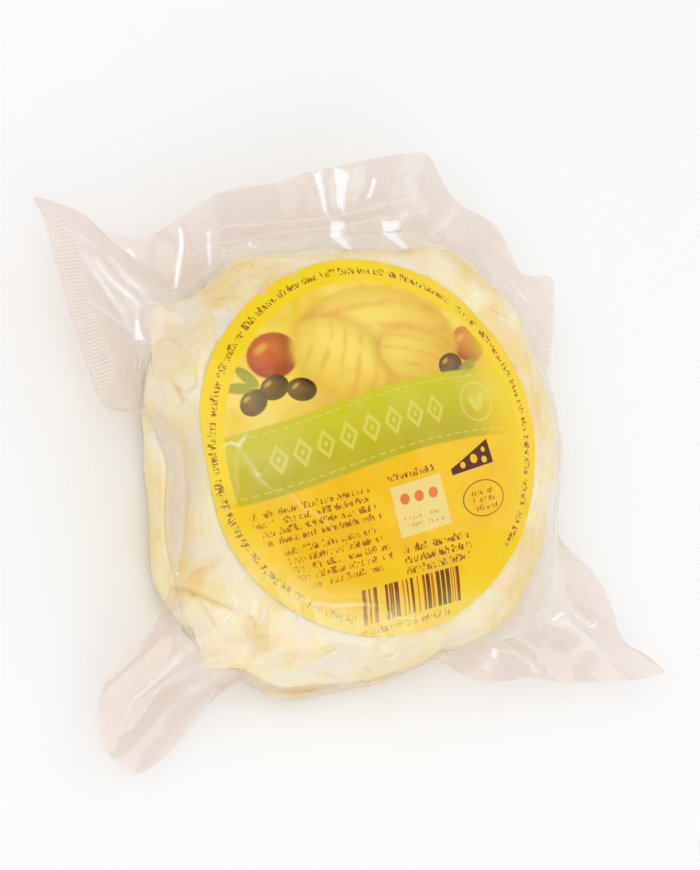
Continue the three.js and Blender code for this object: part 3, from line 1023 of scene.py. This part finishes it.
def blend(tree, share, first, second):
    made = tree.nodes.new("ShaderNodeMix")
    made.data_type = "RGBA"
    join(tree, share, made.inputs[0])
    join(tree, first, made.inputs[6])
    join(tree, second, made.inputs[7])
    return made.outputs[2]


def rgb(red, green, blue):
    """A colour given in everyday 0 to 255 steps, as the linear colour that nodes use."""
    def linear(step):
        share = step / 255
        return share / 12.92 if share <= 0.04045 else ((share + 0.055) / 1.055) ** 2.4

    return (linear(red), linear(green), linear(blue), 1)


def mix_shaders(tree, share, first, second):
    made = tree.nodes.new("ShaderNodeMixShader")
    join(tree, share, made.inputs[0])
    tree.links.new(first, made.inputs[1])
    tree.links.new(second, made.inputs[2])
    return made.outputs[0]


# ---- materials ----


CURD_CREAM = rgb(255, 243, 206)
CURD_YELLOW = rgb(253, 233, 175)
CURD_WHITE = rgb(255, 249, 228)
CURD_PALE = rgb(253, 245, 232)
STRAND_SHADE_YELLOW = rgb(248, 221, 138)
SIDE_GOLD = rgb(247, 219, 134)
SIDE_STREAK_BROWN = rgb(222, 170, 80)
SPLIT_SHADE_GOLD = rgb(240, 204, 104)
CLINGING_TINT = rgb(254, 253, 251)
SLACK_AND_SHADE_TINT = rgb(251, 246, 243)
MILK_AND_GLINT_WHITE = rgb(251, 244, 239)
GLARE_WHITE = (1, 1, 1, 1)

# How much of the film's light is scattered: by milk and painted highlights, where it is slack and in the
# ribs' painted shade, in faint clouds, and anywhere.
HAZE = SimpleNamespace(milk_and_glare=0.62, slack_and_shade=0.05, cloud=0.03, least=0.03)

# How much the film mirrors, seen head on, and how much more at a glancing angle.
MIRROR = SimpleNamespace(head_on=0.045, glancing=0.8)


def curd_material():
    """Pulled curd: cream, mottled with whiter and yellower curds, golden along its sides, and deeper gold in
    its splits and between its strands as painted shade.
    """
    material, tree = new_material("curd")
    place = object_place(tree)
    colour = blend(tree, noise(tree, place, 16, 2).ramp(0.36, 0.64), CURD_CREAM, CURD_YELLOW)
    whiter = noise(tree, place, 6, 3, 0.5, 0.8).ramp(0.50, 0.68) * 0.6
    colour = blend(tree, whiter, colour, CURD_WHITE)
    patchy = noise(tree, place, 11, 2).ramp(0.42, 0.62, 0.15, 1.0)
    # Painted shade: yellower between the strands, where their grooves fall in shade.
    between = attribute(tree, "strand").ramp(0.45, 0.0) * patchy
    colour = blend(tree, between * 0.22, colour, STRAND_SHADE_YELLOW)
    golden_side = attribute(tree, "golden_side") * noise(tree, place, 5, 4, 0.6, 1.0).ramp(0.25, 0.60, 0.55, 1.0)
    colour = blend(tree, golden_side * 0.85, colour, SIDE_GOLD)
    pale = attribute(tree, "pale") * (attribute(tree, "golden_side") * -0.8 + 1.0)
    colour = blend(tree, pale * 0.8, colour, CURD_PALE)
    along = local(tree, place, (0, 0), (7.0, 1.0), -42)
    streaks = noise(tree, along, 1.1, 3, 0.6).ramp(0.56, 0.70) * attribute(tree, "golden_side")
    colour = blend(tree, streaks * 0.45, colour, SIDE_STREAK_BROWN)
    # Painted shade: the splits between strands are painted deeper gold.
    colour = blend(tree, attribute(tree, "depth").ramp(0.05, 0.95) * 0.80, colour, SPLIT_SHADE_GOLD)
    fine = noise(tree, place, 0.9, 4, 0.6)
    bumpy = bumps(tree, fine, 0.15, 0.0003)
    inputs = {
        "Base Color": colour, "Roughness": 0.5, "Normal": bumpy, "Subsurface Weight": 0.25,
        "Subsurface Radius": (1.0, 0.7, 0.35), "Subsurface Scale": 0.004, "Specular IOR Level": 0.35,
    }
    finish_material(tree, add(tree, "ShaderNodeBsdfPrincipled", inputs).outputs[0])
    return material


def film_material():
    """Clear film: glossy, faintly tinted where it clings, greyer where two webs hang loose and in the ribs'
    painted shade, hazed by its milkiness, and white where highlights are painted on it.
    """
    material, tree = new_material("film")
    place = object_place(tree)
    slack_and_shade, milk_and_glare = attribute(tree, "slack_and_shade"), attribute(tree, "milk_and_glare")
    tint = blend(tree, slack_and_shade, CLINGING_TINT, SLACK_AND_SHADE_TINT)
    clear = add(tree, "ShaderNodeBsdfTransparent", {"Color": tint}).outputs[0]
    # Above 0.8 the milk turns pure white, for the painted highlights of the glares.
    white = blend(tree, milk_and_glare.ramp(0.8, 1.3), MILK_AND_GLINT_WHITE, GLARE_WHITE)
    milk_and_glint = add(tree, "ShaderNodeBsdfDiffuse", {"Color": white}).outputs[0]
    cloud = noise(tree, place, 9, 2).ramp(0.3, 0.8) * HAZE.cloud
    haze = milk_and_glare * HAZE.milk_and_glare + slack_and_shade * HAZE.slack_and_shade + cloud + HAZE.least
    body = mix_shaders(tree, haze, clear, milk_and_glint)
    facing = Number(tree, add(tree, "ShaderNodeLayerWeight", {"Blend": 0.5}).outputs["Facing"])
    fresnel = facing**5 * MIRROR.glancing + MIRROR.head_on
    ripple = bumps(tree, noise(tree, place, 1.8, 2), 0.10, 0.0003)
    gloss = add(
        tree, "ShaderNodeBsdfGlossy", {"Color": (1, 1, 1, 1), "Roughness": 0.09, "Normal": ripple}
    ).outputs[0]
    finish_material(tree, mix_shaders(tree, fresnel, body, gloss))
    return material


def floor_material():
    material, tree = new_material("floor")
    finish_material(tree, add(tree, "ShaderNodeBsdfDiffuse", {"Color": rgb(250, 250, 250)}).outputs[0])
    return material


# ---- the label's print ----
#
# Places on the label are millimetres from its middle: x to the right and y towards the mouth.

PRINT = SimpleNamespace(
    ring_inside=37.5,         # the plain yellow ring runs from here to the edge
    ring_text=39.3,           # radius at the feet of the ring's small print
    band_half=7.9,            # half the height of the green band
    band_rise=3.0,            # height of the band's middle line, and how it sways
    band_sway=1.6,
    stitch_inset=1.5,
)

# A block of small print: its left, right and top, and its rows, their lead and their height.
Block = namedtuple("Block", "left right top rows lead height")
STORY = [Block(-35.5, -4.6, -8.4, 4, 2.10, 1.55), Block(-29.5, -4.2, -17.6, 5, 2.10, 1.55)]
ADDRESS = [Block(-1.6, 18.5, -23.4, 3, 2.35, 1.75), Block(-2.6, 12.0, -7.0, 1, 2.4, 1.7)]
IN_PATCH = [Block(-0.6, 10.8, -17.0, 2, 1.7, 1.1)]
IN_OVAL = [Block(19.0, 26.4, -15.2, 3, 1.75, 1.3)]
UNDER_BARS = [Block(-16.4, 13.0, -39.3, 1, 2.2, 1.6)]

LEMON = rgb(246, 214, 16)
GOLD = rgb(245, 200, 14)
DEEP_GOLD = rgb(240, 187, 12)
CREAM = rgb(246, 221, 100)
BUTTER = rgb(239, 201, 48)
MEADOW = rgb(205, 197, 16)
OLIVE = rgb(187, 172, 12)
PALE_STRAW = rgb(230, 220, 104)
MAROON = rgb(88, 20, 6)
RUST = rgb(160, 78, 16)
BROWN = rgb(132, 58, 14)
OCHRE = rgb(216, 150, 48)
PARCHMENT = rgb(238, 222, 150)
CORAL = rgb(236, 92, 44)
LEAF = rgb(132, 140, 44)
SAND = rgb(190, 156, 90)
COPPER = rgb(190, 96, 26)
TOMATO, RIPE_TOMATO = rgb(212, 104, 48), rgb(164, 52, 20)
OLIVE_BROWN, RIPE_OLIVE = rgb(112, 70, 44), rgb(56, 28, 18)
BALL_PALE, BALL_STRAW = rgb(247, 221, 98), rgb(225, 177, 50)
WASHED_EDGE = rgb(249, 232, 168)
WASHED_SIDE = rgb(249, 240, 190)
CREASE_GLINT_WHITE = rgb(255, 249, 215)


def local(tree, place, middle, size=(1.0, 1.0), turn=0.0):
    """Places relative to a middle point, turned, and in units of size."""
    inputs = {
        "Vector": place, "Location": (*middle, 0.0), "Rotation": (0.0, 0.0, math.radians(turn)),
        "Scale": (*size, 1.0),
    }
    return add(tree, "ShaderNodeMapping", inputs, vector_type="TEXTURE").outputs[0]


def parts(tree, place):
    """The x and y of a place, as numbers."""
    made = add(tree, "ShaderNodeSeparateXYZ", {0: place})
    return Number(tree, made.outputs[0]), Number(tree, made.outputs[1])


def joined(tree, *numbers):
    return add(tree, "ShaderNodeCombineXYZ", dict(enumerate(numbers))).outputs[0]


def length(tree, place):
    flat = add(tree, "ShaderNodeVectorMath", {0: place, 1: (1, 1, 0)}, operation="MULTIPLY").outputs[0]
    return Number(tree, add(tree, "ShaderNodeVectorMath", {0: flat}, operation="LENGTH").outputs["Value"])


def disc(tree, place, middle, radii, turn=0.0, soft=0.04):
    """1 inside an ellipse. soft is the width of its edge as a share of its size."""
    return length(tree, local(tree, place, middle, radii, turn)).ramp(1 - soft, 1 + soft, 1.0, 0.0)


def hoop(tree, place, middle, radii, line):
    """1 on the outline of an ellipse. line is half its width, as a share of its size."""
    return abs(length(tree, local(tree, place, middle, radii)) - 1.0).below(line)


def slab(tree, place, middle, size, turn=0.0):
    """1 inside a rectangle."""
    x, y = parts(tree, local(tree, place, middle, (size[0] / 2, size[1] / 2), turn))
    return abs(x).either(abs(y)).below(1.0)


def chance(tree, *cells):
    """A seeded draw from 0 to 1 for each cell, given by up to three whole numbers."""
    made = add(tree, "ShaderNodeTexWhiteNoise", {"Vector": joined(tree, *cells)}, noise_dimensions="3D")
    return Number(tree, made.outputs["Value"])


def small_print(tree, along, over, row, height):
    """Specks of ink, in words, that stand for a row of print too small to read."""
    speck = noise(tree, joined(tree, along / 0.42, over / 1.1, row * 3.7), 1.0, 1)
    ink = speck.ramp(0.47, 0.55)
    tall = noise(tree, joined(tree, along, row, 3.5), 0.9, 0).ramp(0.52, 0.58, 0.70 * height, height)
    in_row = over.above(0.0) * (over - tall).below(0.0)
    jitter = noise(tree, joined(tree, along, row, 7.5), 6.0, 1)
    word = (along / 4.4 + jitter * 1.6).math("FRACT").above(0.18)
    return ink * in_row * word


def text_block(tree, x, y, block):
    """Rows of small print with a ragged right edge."""
    down = (y - block.top) * (-1 / block.lead)
    row = down.math("FLOOR")
    over = (down.math("FRACT") * -1.0 + 1.0) * block.lead - 0.5 * (block.lead - block.height)
    ragged = chance(tree, row, block.left, block.top) * (-0.16 * (block.right - block.left)) + block.right
    inside = x.above(block.left) * x.below(ragged) * down.above(0.0) * down.below(float(block.rows))
    return small_print(tree, x, over, row * 9.0 + block.top, block.height) * inside


def text(tree, x, y, blocks):
    return reduce(Number.either, (text_block(tree, x, y, block) for block in blocks))


def solid(tree, place, middle, radii, turn, light, dark, field):
    """A round thing, lighter towards its upper left, laid over the field, with a soft glint."""
    out = length(tree, local(tree, place, middle, radii, turn))
    lit = (middle[0] - 0.25 * radii[0], middle[1] + 0.3 * radii[1])
    glow = length(tree, local(tree, place, lit, radii, turn))
    body = blend(tree, glow.ramp(0.1, 1.15), light, dark)
    field = blend(tree, out.ramp(0.93, 1.06, 1.0, 0.0), field, body)
    spot = (middle[0] - 0.35 * radii[0], middle[1] + 0.4 * radii[1])
    glint = disc(tree, place, spot, (0.26 * radii[0], 0.15 * radii[1]), 25, soft=0.7)
    return blend(tree, glint * 0.45, field, CREAM)


def grooves(tree, place, middle, turn, pitch, bend):
    """Grooves between strands wound side by side."""
    x, y = parts(tree, local(tree, place, middle, (1.0, 1.0), turn))
    wander = noise(tree, place, 9, 2) * 3.0
    cell = (y + x * x * bend + wander) / pitch
    broken = noise(tree, place, 5, 2).ramp(0.35, 0.60, 0.15, 1.0)
    return abs(cell.math("FRACT") - 0.5).ramp(0.22, 0.5) * broken


def picture(tree, place):
    """The field above the band: a wound ball of curd by tomatoes, olives and a sprig, softly printed."""
    cloud = noise(tree, place, 9, 3, 0.5, 0.6)
    field = blend(tree, cloud.ramp(0.34, 0.66), BUTTER, CREAM)
    shadow = disc(tree, place, (10, 13.0), (26, 6.5), 6, soft=0.6)
    field = blend(tree, shadow * 0.75, field, OCHRE)

    for middle, radii, turn in (((-20.5, 24.5), (6.0, 5.2), 20), ((29.5, 17.5), (4.8, 4.3), -10)):
        field = solid(tree, place, middle, radii, turn, TOMATO, RIPE_TOMATO, field)

    near_light = length(tree, local(tree, place, (0.5, 26.0), (28.0, 19.0), -6))
    tone = blend(tree, near_light.ramp(0.25, 1.05), BALL_PALE, BALL_STRAW)
    ball = tone
    for middle, radii, turn, pitch, bend in (
        ((9.0, 23.0), (20.0, 13.0), -8, 4.6, 0.010),
        ((-6.0, 20.5), (9.5, 12.5), 58, 4.0, -0.014),
        ((15.0, 16.0), (11.0, 7.0), -30, 3.4, 0.020),
    ):
        out = length(tree, local(tree, place, middle, radii, turn))
        ball = blend(tree, out.ramp(0.98, 1.35, 0.5, 0.0), ball, OCHRE)
        groove = grooves(tree, place, middle, turn, pitch, bend)
        layer = blend(tree, groove * 0.40, tone, OCHRE)
        layer = blend(tree, out.ramp(0.55, 1.0, 0.0, 0.45), layer, BALL_STRAW)
        ball = blend(tree, out.ramp(0.93, 1.03, 1.0, 0.0), ball, layer)
    field = blend(tree, disc(tree, place, (5.0, 21.5), (21.5, 14.0), -6, soft=0.06), field, ball)

    for middle, turn in (((-22.5, 17.4), 20), ((-16.6, 15.6), -12), ((-28.0, 15.2), 35), ((22.5, 13.6), 10)):
        field = solid(tree, place, middle, (3.5, 2.7), turn, OLIVE_BROWN, RIPE_OLIVE, field)

    for middle, turn in (((-27.5, 21.0), 120), ((-30.0, 19.0), 165), ((27.0, 12.4), 20)):
        leaf = disc(tree, place, middle, (3.2, 1.3), turn, soft=0.15)
        field = blend(tree, leaf * 0.8, field, LEAF)
    return blend(tree, cloud.ramp(0.3, 0.7, 0.0, 0.14), field, CREAM)


def band_middle(x):
    return ((x + 10.0) * (math.pi / 46)).math("SINE") * PRINT.band_sway + PRINT.band_rise


def green_band(tree, place, x, y, colour):
    """The stitched green band, with a plain row of lozenges and a roundel where a title would be."""
    over = y - band_middle(x)
    band = abs(over).ramp(PRINT.band_half - 0.3, PRINT.band_half + 0.3, 1.0, 0.0)
    fade = x.ramp(20, 37, 1.0, 0.12)
    green = blend(tree, over.ramp(-8, 7), OLIVE, MEADOW)
    green = blend(tree, noise(tree, place, 10, 2).ramp(0.40, 0.75, 0.0, 0.15), green, PALE_STRAW)
    colour = blend(tree, band * fade, colour, green)
    dash = (x / 2.6).math("FRACT").below(0.62)
    stitch = abs(abs(over) - (PRINT.band_half - PRINT.stitch_inset)).below(0.15) * dash * x.below(34.0)
    marks = stitch.either(lozenges(x, over)).either(roundel(tree, place))
    return blend(tree, marks * 0.60, colour, PALE_STRAW)


# The row of lozenges runs from left to right; line and heart are shares of a lozenge's size.
LOZENGE = SimpleNamespace(
    step=5.85, half_width=2.45, half_height=3.5, line=0.20, heart=0.24, left=-29.2, right=17.5,
)


def lozenges(x, over):
    """A row of outlined lozenges, each with a small lozenge inside."""
    across = ((x / LOZENGE.step).math("FRACT") - 0.5) * LOZENGE.step
    slant = abs(across) / LOZENGE.half_width + abs(over) / LOZENGE.half_height
    outline = abs(slant - (1 - LOZENGE.line)).below(LOZENGE.line)
    in_row = x.above(LOZENGE.left) * x.below(LOZENGE.right)
    return outline.either(slant.below(LOZENGE.heart)) * in_row


def roundel(tree, place):
    """A ring round two small leaves."""
    marks = hoop(tree, place, (26.8, 4.2), (4.4, 4.4), 0.05)
    for at, turn in ((25.8, 110), (27.8, 70)):
        marks = marks.either(disc(tree, place, (at, 4.0), (2.1, 0.85), turn, soft=0.15))
    return marks


def lower_half(tree, place, x, y, colour):
    """Rows of small print, a patch, an oval mark and a wedge, all without any lettering."""
    in_ring = length(tree, place).below(36.8)
    colour = blend(tree, text(tree, x, y, STORY) * in_ring * 0.85, colour, RUST)
    colour = blend(tree, text(tree, x, y, ADDRESS) * 0.9, colour, BROWN)

    patch = slab(tree, place, (5.0, -15.9), (13.6, 11.6), 3)
    colour = blend(tree, patch * 0.72, colour, PARCHMENT)
    dots = reduce(Number.either, (disc(tree, place, (at, -13.6), (1.25, 1.25)) for at in (1.2, 5.0, 8.8)))
    colour = blend(tree, dots * 0.85, colour, CORAL)
    colour = blend(tree, text(tree, x, y, IN_PATCH) * 0.6, colour, SAND)

    oval = hoop(tree, place, (22.3, -17.6), (6.0, 4.0), 0.035)
    colour = blend(tree, oval.either(text(tree, x, y, IN_OVAL)) * 0.8, colour, BROWN)
    return blend(tree, wedge(tree, place), colour, MAROON)


def wedge(tree, place):
    """A plain wedge of cheese with round holes."""
    middle = (20.8, -8.0)
    x, y = parts(tree, local(tree, place, middle, (1.0, 1.0), 4))
    body = abs(x).below(6.2) * y.above(-2.6) * (y - x * 0.33).below(0.9)
    for across, up, size in ((-2.6, -1.3, 0.75), (0.9, -0.4, 1.05), (3.9, -1.1, 0.8), (4.2, 1.2, 0.6)):
        body = body * (disc(tree, place, (middle[0] + across, middle[1] + up), (size, size)) * -1.0 + 1.0)
    return body


def bars(tree, x, y, colour):
    """Upright bars of uneven width over a short row of small print."""
    thin, gap = 0.34, 0.32
    left, right, foot, head = -13.7, 12.2, -38.8, -31.0
    bar = (x - left) / thin
    space = (bar.math("FLOOR") / 4.0).math("FRACT").below(0.2)
    inked = chance(tree, bar.math("FLOOR"), 0.5, 0.5).above(gap) * (space * -1.0 + 1.0)
    lighter = chance(tree, bar.math("FLOOR"), 3.5, 0.5).above(0.75)
    span = x.above(left) * x.below(right) * y.above(foot) * y.below(head)
    colour = blend(tree, inked * span * 0.92, colour, blend(tree, lighter, MAROON, COPPER))
    return blend(tree, text(tree, x, y, UNDER_BARS) * 0.8, colour, RUST)


def ring(tree, place, x, y, colour):
    """The yellow ring, which melts into the gold in the lower half, and its run of small print."""
    radius = length(tree, place)
    outside = radius.ramp(PRINT.ring_inside - 0.15, PRINT.ring_inside + 0.15)
    melting = radius.ramp(30, 43) * 0.7
    upper = y.ramp(-14, 2)
    colour = blend(tree, outside * upper, colour, LEMON)
    colour = blend(tree, melting * (upper * -1.0 + 1.0), colour, LEMON)
    turn = y.math("ARCTAN2", x)
    line = small_print(tree, turn * -PRINT.ring_text, radius - PRINT.ring_text, 0.5, 1.7)
    gap = (turn.above(math.radians(-112)) * turn.below(math.radians(-48)) * -1.0) + 1.0
    return blend(tree, line * gap * 0.85, colour, BROWN)


def washed(tree, place, x, y, colour):
    """Milky film over the label's lower edge and left side hides some of its colour."""
    radius = length(tree, place)
    corner = radius.ramp(31, 43) * (x * -0.45 - y * 0.90).ramp(20, 44)
    cloud = noise(tree, place, 6, 2, 0.5, 1.0).ramp(0.3, 0.7, 0.3, 0.8)
    colour = blend(tree, corner * cloud, colour, WASHED_EDGE)
    left = disc(tree, place, (-27, 3), (8, 9), soft=0.9)
    return blend(tree, left * cloud * 0.25, colour, WASHED_SIDE)


def label_material():
    """Glossy printed film."""
    material, tree = new_material("label_print")
    place = local(tree, object_place(tree), (0.0, LABEL.y))
    x, y = parts(tree, place)
    colour = blend(tree, noise(tree, place, 9, 2).ramp(0.3, 0.7), GOLD, DEEP_GOLD)
    colour = blend(tree, x.ramp(16, 38) * y.ramp(-20, 6), colour, LEMON)
    above = (y - band_middle(x)).ramp(-0.2, 0.2) * x.ramp(26, 38, 1.0, 0.0)
    colour = blend(tree, above, colour, picture(tree, place))
    colour = green_band(tree, place, x, y, colour)
    colour = lower_half(tree, place, x, y, colour)
    colour = ring(tree, place, x, y, colour)
    colour = bars(tree, x, y, colour)
    colour = washed(tree, place, x, y, colour)
    # Painted highlights: the label is painted whiter along its creases, where their ridges would catch the
    # lamps.
    colour = blend(tree, attribute(tree, "creased").ramp(0.1, 0.9, 0.0, 0.6), colour, CREASE_GLINT_WHITE)
    fine = noise(tree, place, 1.2, 3)
    bumpy = bumps(tree, fine, 0.06, 0.0002)
    inputs = {
        "Base Color": colour, "Roughness": 0.5, "Normal": bumpy, "Specular IOR Level": 0.0,
        "Coat Weight": 0.7, "Coat Roughness": 0.08,
    }
    finish_material(tree, add(tree, "ShaderNodeBsdfPrincipled", inputs).outputs[0])
    return material


# ---- pieces ----


def capped(values, *ends):
    """A skin's values, with one more for each of its middle points."""
    return np.append(np.ravel(values), ends)


def film_piece(name, points, faces, film, slack_and_shade, milk_and_glare):
    attributes = {"slack_and_shade": slack_and_shade, "milk_and_glare": milk_and_glare}
    return make_piece(name, points, faces, film, "sealed_pouch", attributes)


def make_upper_film(film):
    """The web over the curd, and the rim's upper web out to its edge, which is returned for rays."""
    rings, slack_and_shade, milk_and_glare = upper_film()
    split = FILM.crown_rings + FILM.wall_rings
    points, faces = capped_skin(rings[:split], top=rings[0].mean(axis=0))
    looks = (capped(values[:split], values[0].mean()) for values in (slack_and_shade, milk_and_glare))
    film_piece("film_over_curd", points, faces, film, *looks)
    points, faces = capped_skin(rings[split - 1:])
    film_piece("film_rim_upper", points, faces, film, slack_and_shade[split - 1:], milk_and_glare[split - 1:])
    return BVHTree.FromPolygons(points.tolist(), faces)


def make_lower_film(film):
    rings, slack_and_shade, milk_and_glare = lower_film()
    points, faces = capped_skin(rings, bottom=(0, 0, 0))
    film_piece("film_lower", points, faces, film, capped(slack_and_shade, 0), capped(milk_and_glare, 0))


def make_ribbed_seals(film, rim):
    for number, (first, last, width, depth) in enumerate(RIBBED, start=1):
        rows, crest, sides = rib_strip(first, last, width, depth, rim)
        faces = strip_faces(*rows.shape[:2])
        # Painted light and shade of the ribs: their crests are painted whiter and their grooves greyer.
        slack_and_shade, milk_and_glare = (1 - crest) * sides, RIBS.milk_and_glint * depth * crest
        film_piece(f"ribbed_seal_{number}", rows.reshape(-1, 3), faces, film, slack_and_shade, milk_and_glare)


def make_cheese():
    rings, looks = curd_rings()
    points, faces = capped_skin(rings, top=rings[0].mean(axis=0), bottom=(0, 0, UNDER_FILM.floor))
    attributes = {name: capped(values, 0, 0) for name, values in looks.items()}
    make_piece("cheese", points, faces, curd_material(), "sealed_pouch", attributes)


def make_label():
    rings, creased = label_rings()
    points, faces = capped_skin(rings, top=rings[0].mean(axis=0), bottom=rings[-1].mean(axis=0))
    attributes = {"creased": capped(creased, 0, 0)}
    make_piece("label_sheet", points, faces, label_material(), "label", attributes)


# ---- stage ----


# In metres. The floor lies a little under the pack, so that no two surfaces coincide.
FLOOR = SimpleNamespace(half=3.0, drop=0.0002)


def make_floor():
    mesh = bpy.data.meshes.new("floor")
    half = FLOOR.half
    corners = [(-half, -half, 0), (half, -half, 0), (half, half, 0), (-half, half, 0)]
    mesh.from_pydata(corners, [], [(0, 1, 2, 3)])
    mesh.materials.append(floor_material())
    floor = bpy.data.objects.new("floor", mesh)
    floor.location.z = -FLOOR.drop
    bpy.context.scene.collection.objects.link(floor)


# Soft lamps one metre from the pack: name, azimuth, elevation, width and height in metres, and radiance.
SOFTBOXES = [
    ("key", 150, 55, 0.90, 0.90, 1.20),
    ("fill", 268, 38, 0.90, 0.70, 1.05),
    ("side", 10, 35, 1.20, 0.90, 0.60),
]
WORLD_STRENGTH = 0.62


def direction(azimuth, elevation):
    """The unit vector at an azimuth from +X and an elevation, both in degrees."""
    turn, rise = math.radians(azimuth), math.radians(elevation)
    return Vector((math.cos(turn) * math.cos(rise), math.sin(turn) * math.cos(rise), math.sin(rise)))


def softbox(name, azimuth, elevation, width, height, radiance):
    """A rectangular area light that faces the pack."""
    out = direction(azimuth, elevation)
    light = bpy.data.lights.new(name, "AREA")
    light.shape = "RECTANGLE"
    light.size, light.size_y = width, height
    light.energy = radiance * math.pi * width * height
    lamp = bpy.data.objects.new(name, light)
    lamp.location = out
    lamp.rotation_mode = "QUATERNION"
    lamp.rotation_quaternion = out.to_track_quat("Z", "Y")
    bpy.context.scene.collection.objects.link(lamp)


def make_lights():
    for lamp in SOFTBOXES:
        softbox(*lamp)
    world = bpy.data.worlds.new("studio")
    world.use_nodes = True
    background = world.node_tree.nodes["Background"]
    background.inputs["Color"].default_value = (1, 1, 1, 1)
    background.inputs["Strength"].default_value = WORLD_STRENGTH
    bpy.context.scene.world = world


# The camera looks down steeply from the pack's left. mouth_turn is the way +Y points in the picture,
# and up and right are how far its aim is moved off the focus. Lengths are in metres, but for the lens
# and its sensor.
CAMERA = SimpleNamespace(
    azimuth=-175.5, elevation=61.3, distance=0.8, focus=(0, 0, 0.014), mouth_turn=104.5, up=0.0078,
    right=-0.00046, lens=144.9, sensor=36,
)


def make_camera():
    """The camera looks back along its own Z at the aim, rolled so that the mouth points up."""
    back = direction(CAMERA.azimuth, CAMERA.elevation)
    level = direction(CAMERA.azimuth + 90, 0)
    rise = back.cross(level)
    roll = math.radians(CAMERA.mouth_turn) - math.atan2(rise.y, level.y)
    right = math.cos(roll) * level - math.sin(roll) * rise
    up = math.sin(roll) * level + math.cos(roll) * rise
    aim = Vector(CAMERA.focus) + up * CAMERA.up + right * CAMERA.right

    data = bpy.data.cameras.new("camera")
    data.sensor_width = CAMERA.sensor
    data.lens = CAMERA.lens
    camera = bpy.data.objects.new("camera", data)
    place = aim + back * CAMERA.distance
    camera.matrix_world = Matrix((
        (right.x, up.x, back.x, place.x), (right.y, up.y, back.y, place.y), (right.z, up.z, back.z, place.z),
        (0, 0, 0, 1),
    ))
    bpy.context.scene.collection.objects.link(camera)
    bpy.context.scene.camera = camera


# ---- the scene ----

film = film_material()
rim = make_upper_film(film)
make_lower_film(film)
make_ribbed_seals(film, rim)
make_cheese()
make_label()
make_floor()
make_lights()
make_camera()
bpy.context.scene.view_settings.view_transform = "Standard"
bpy.context.scene.cycles.transparent_max_bounces = 24
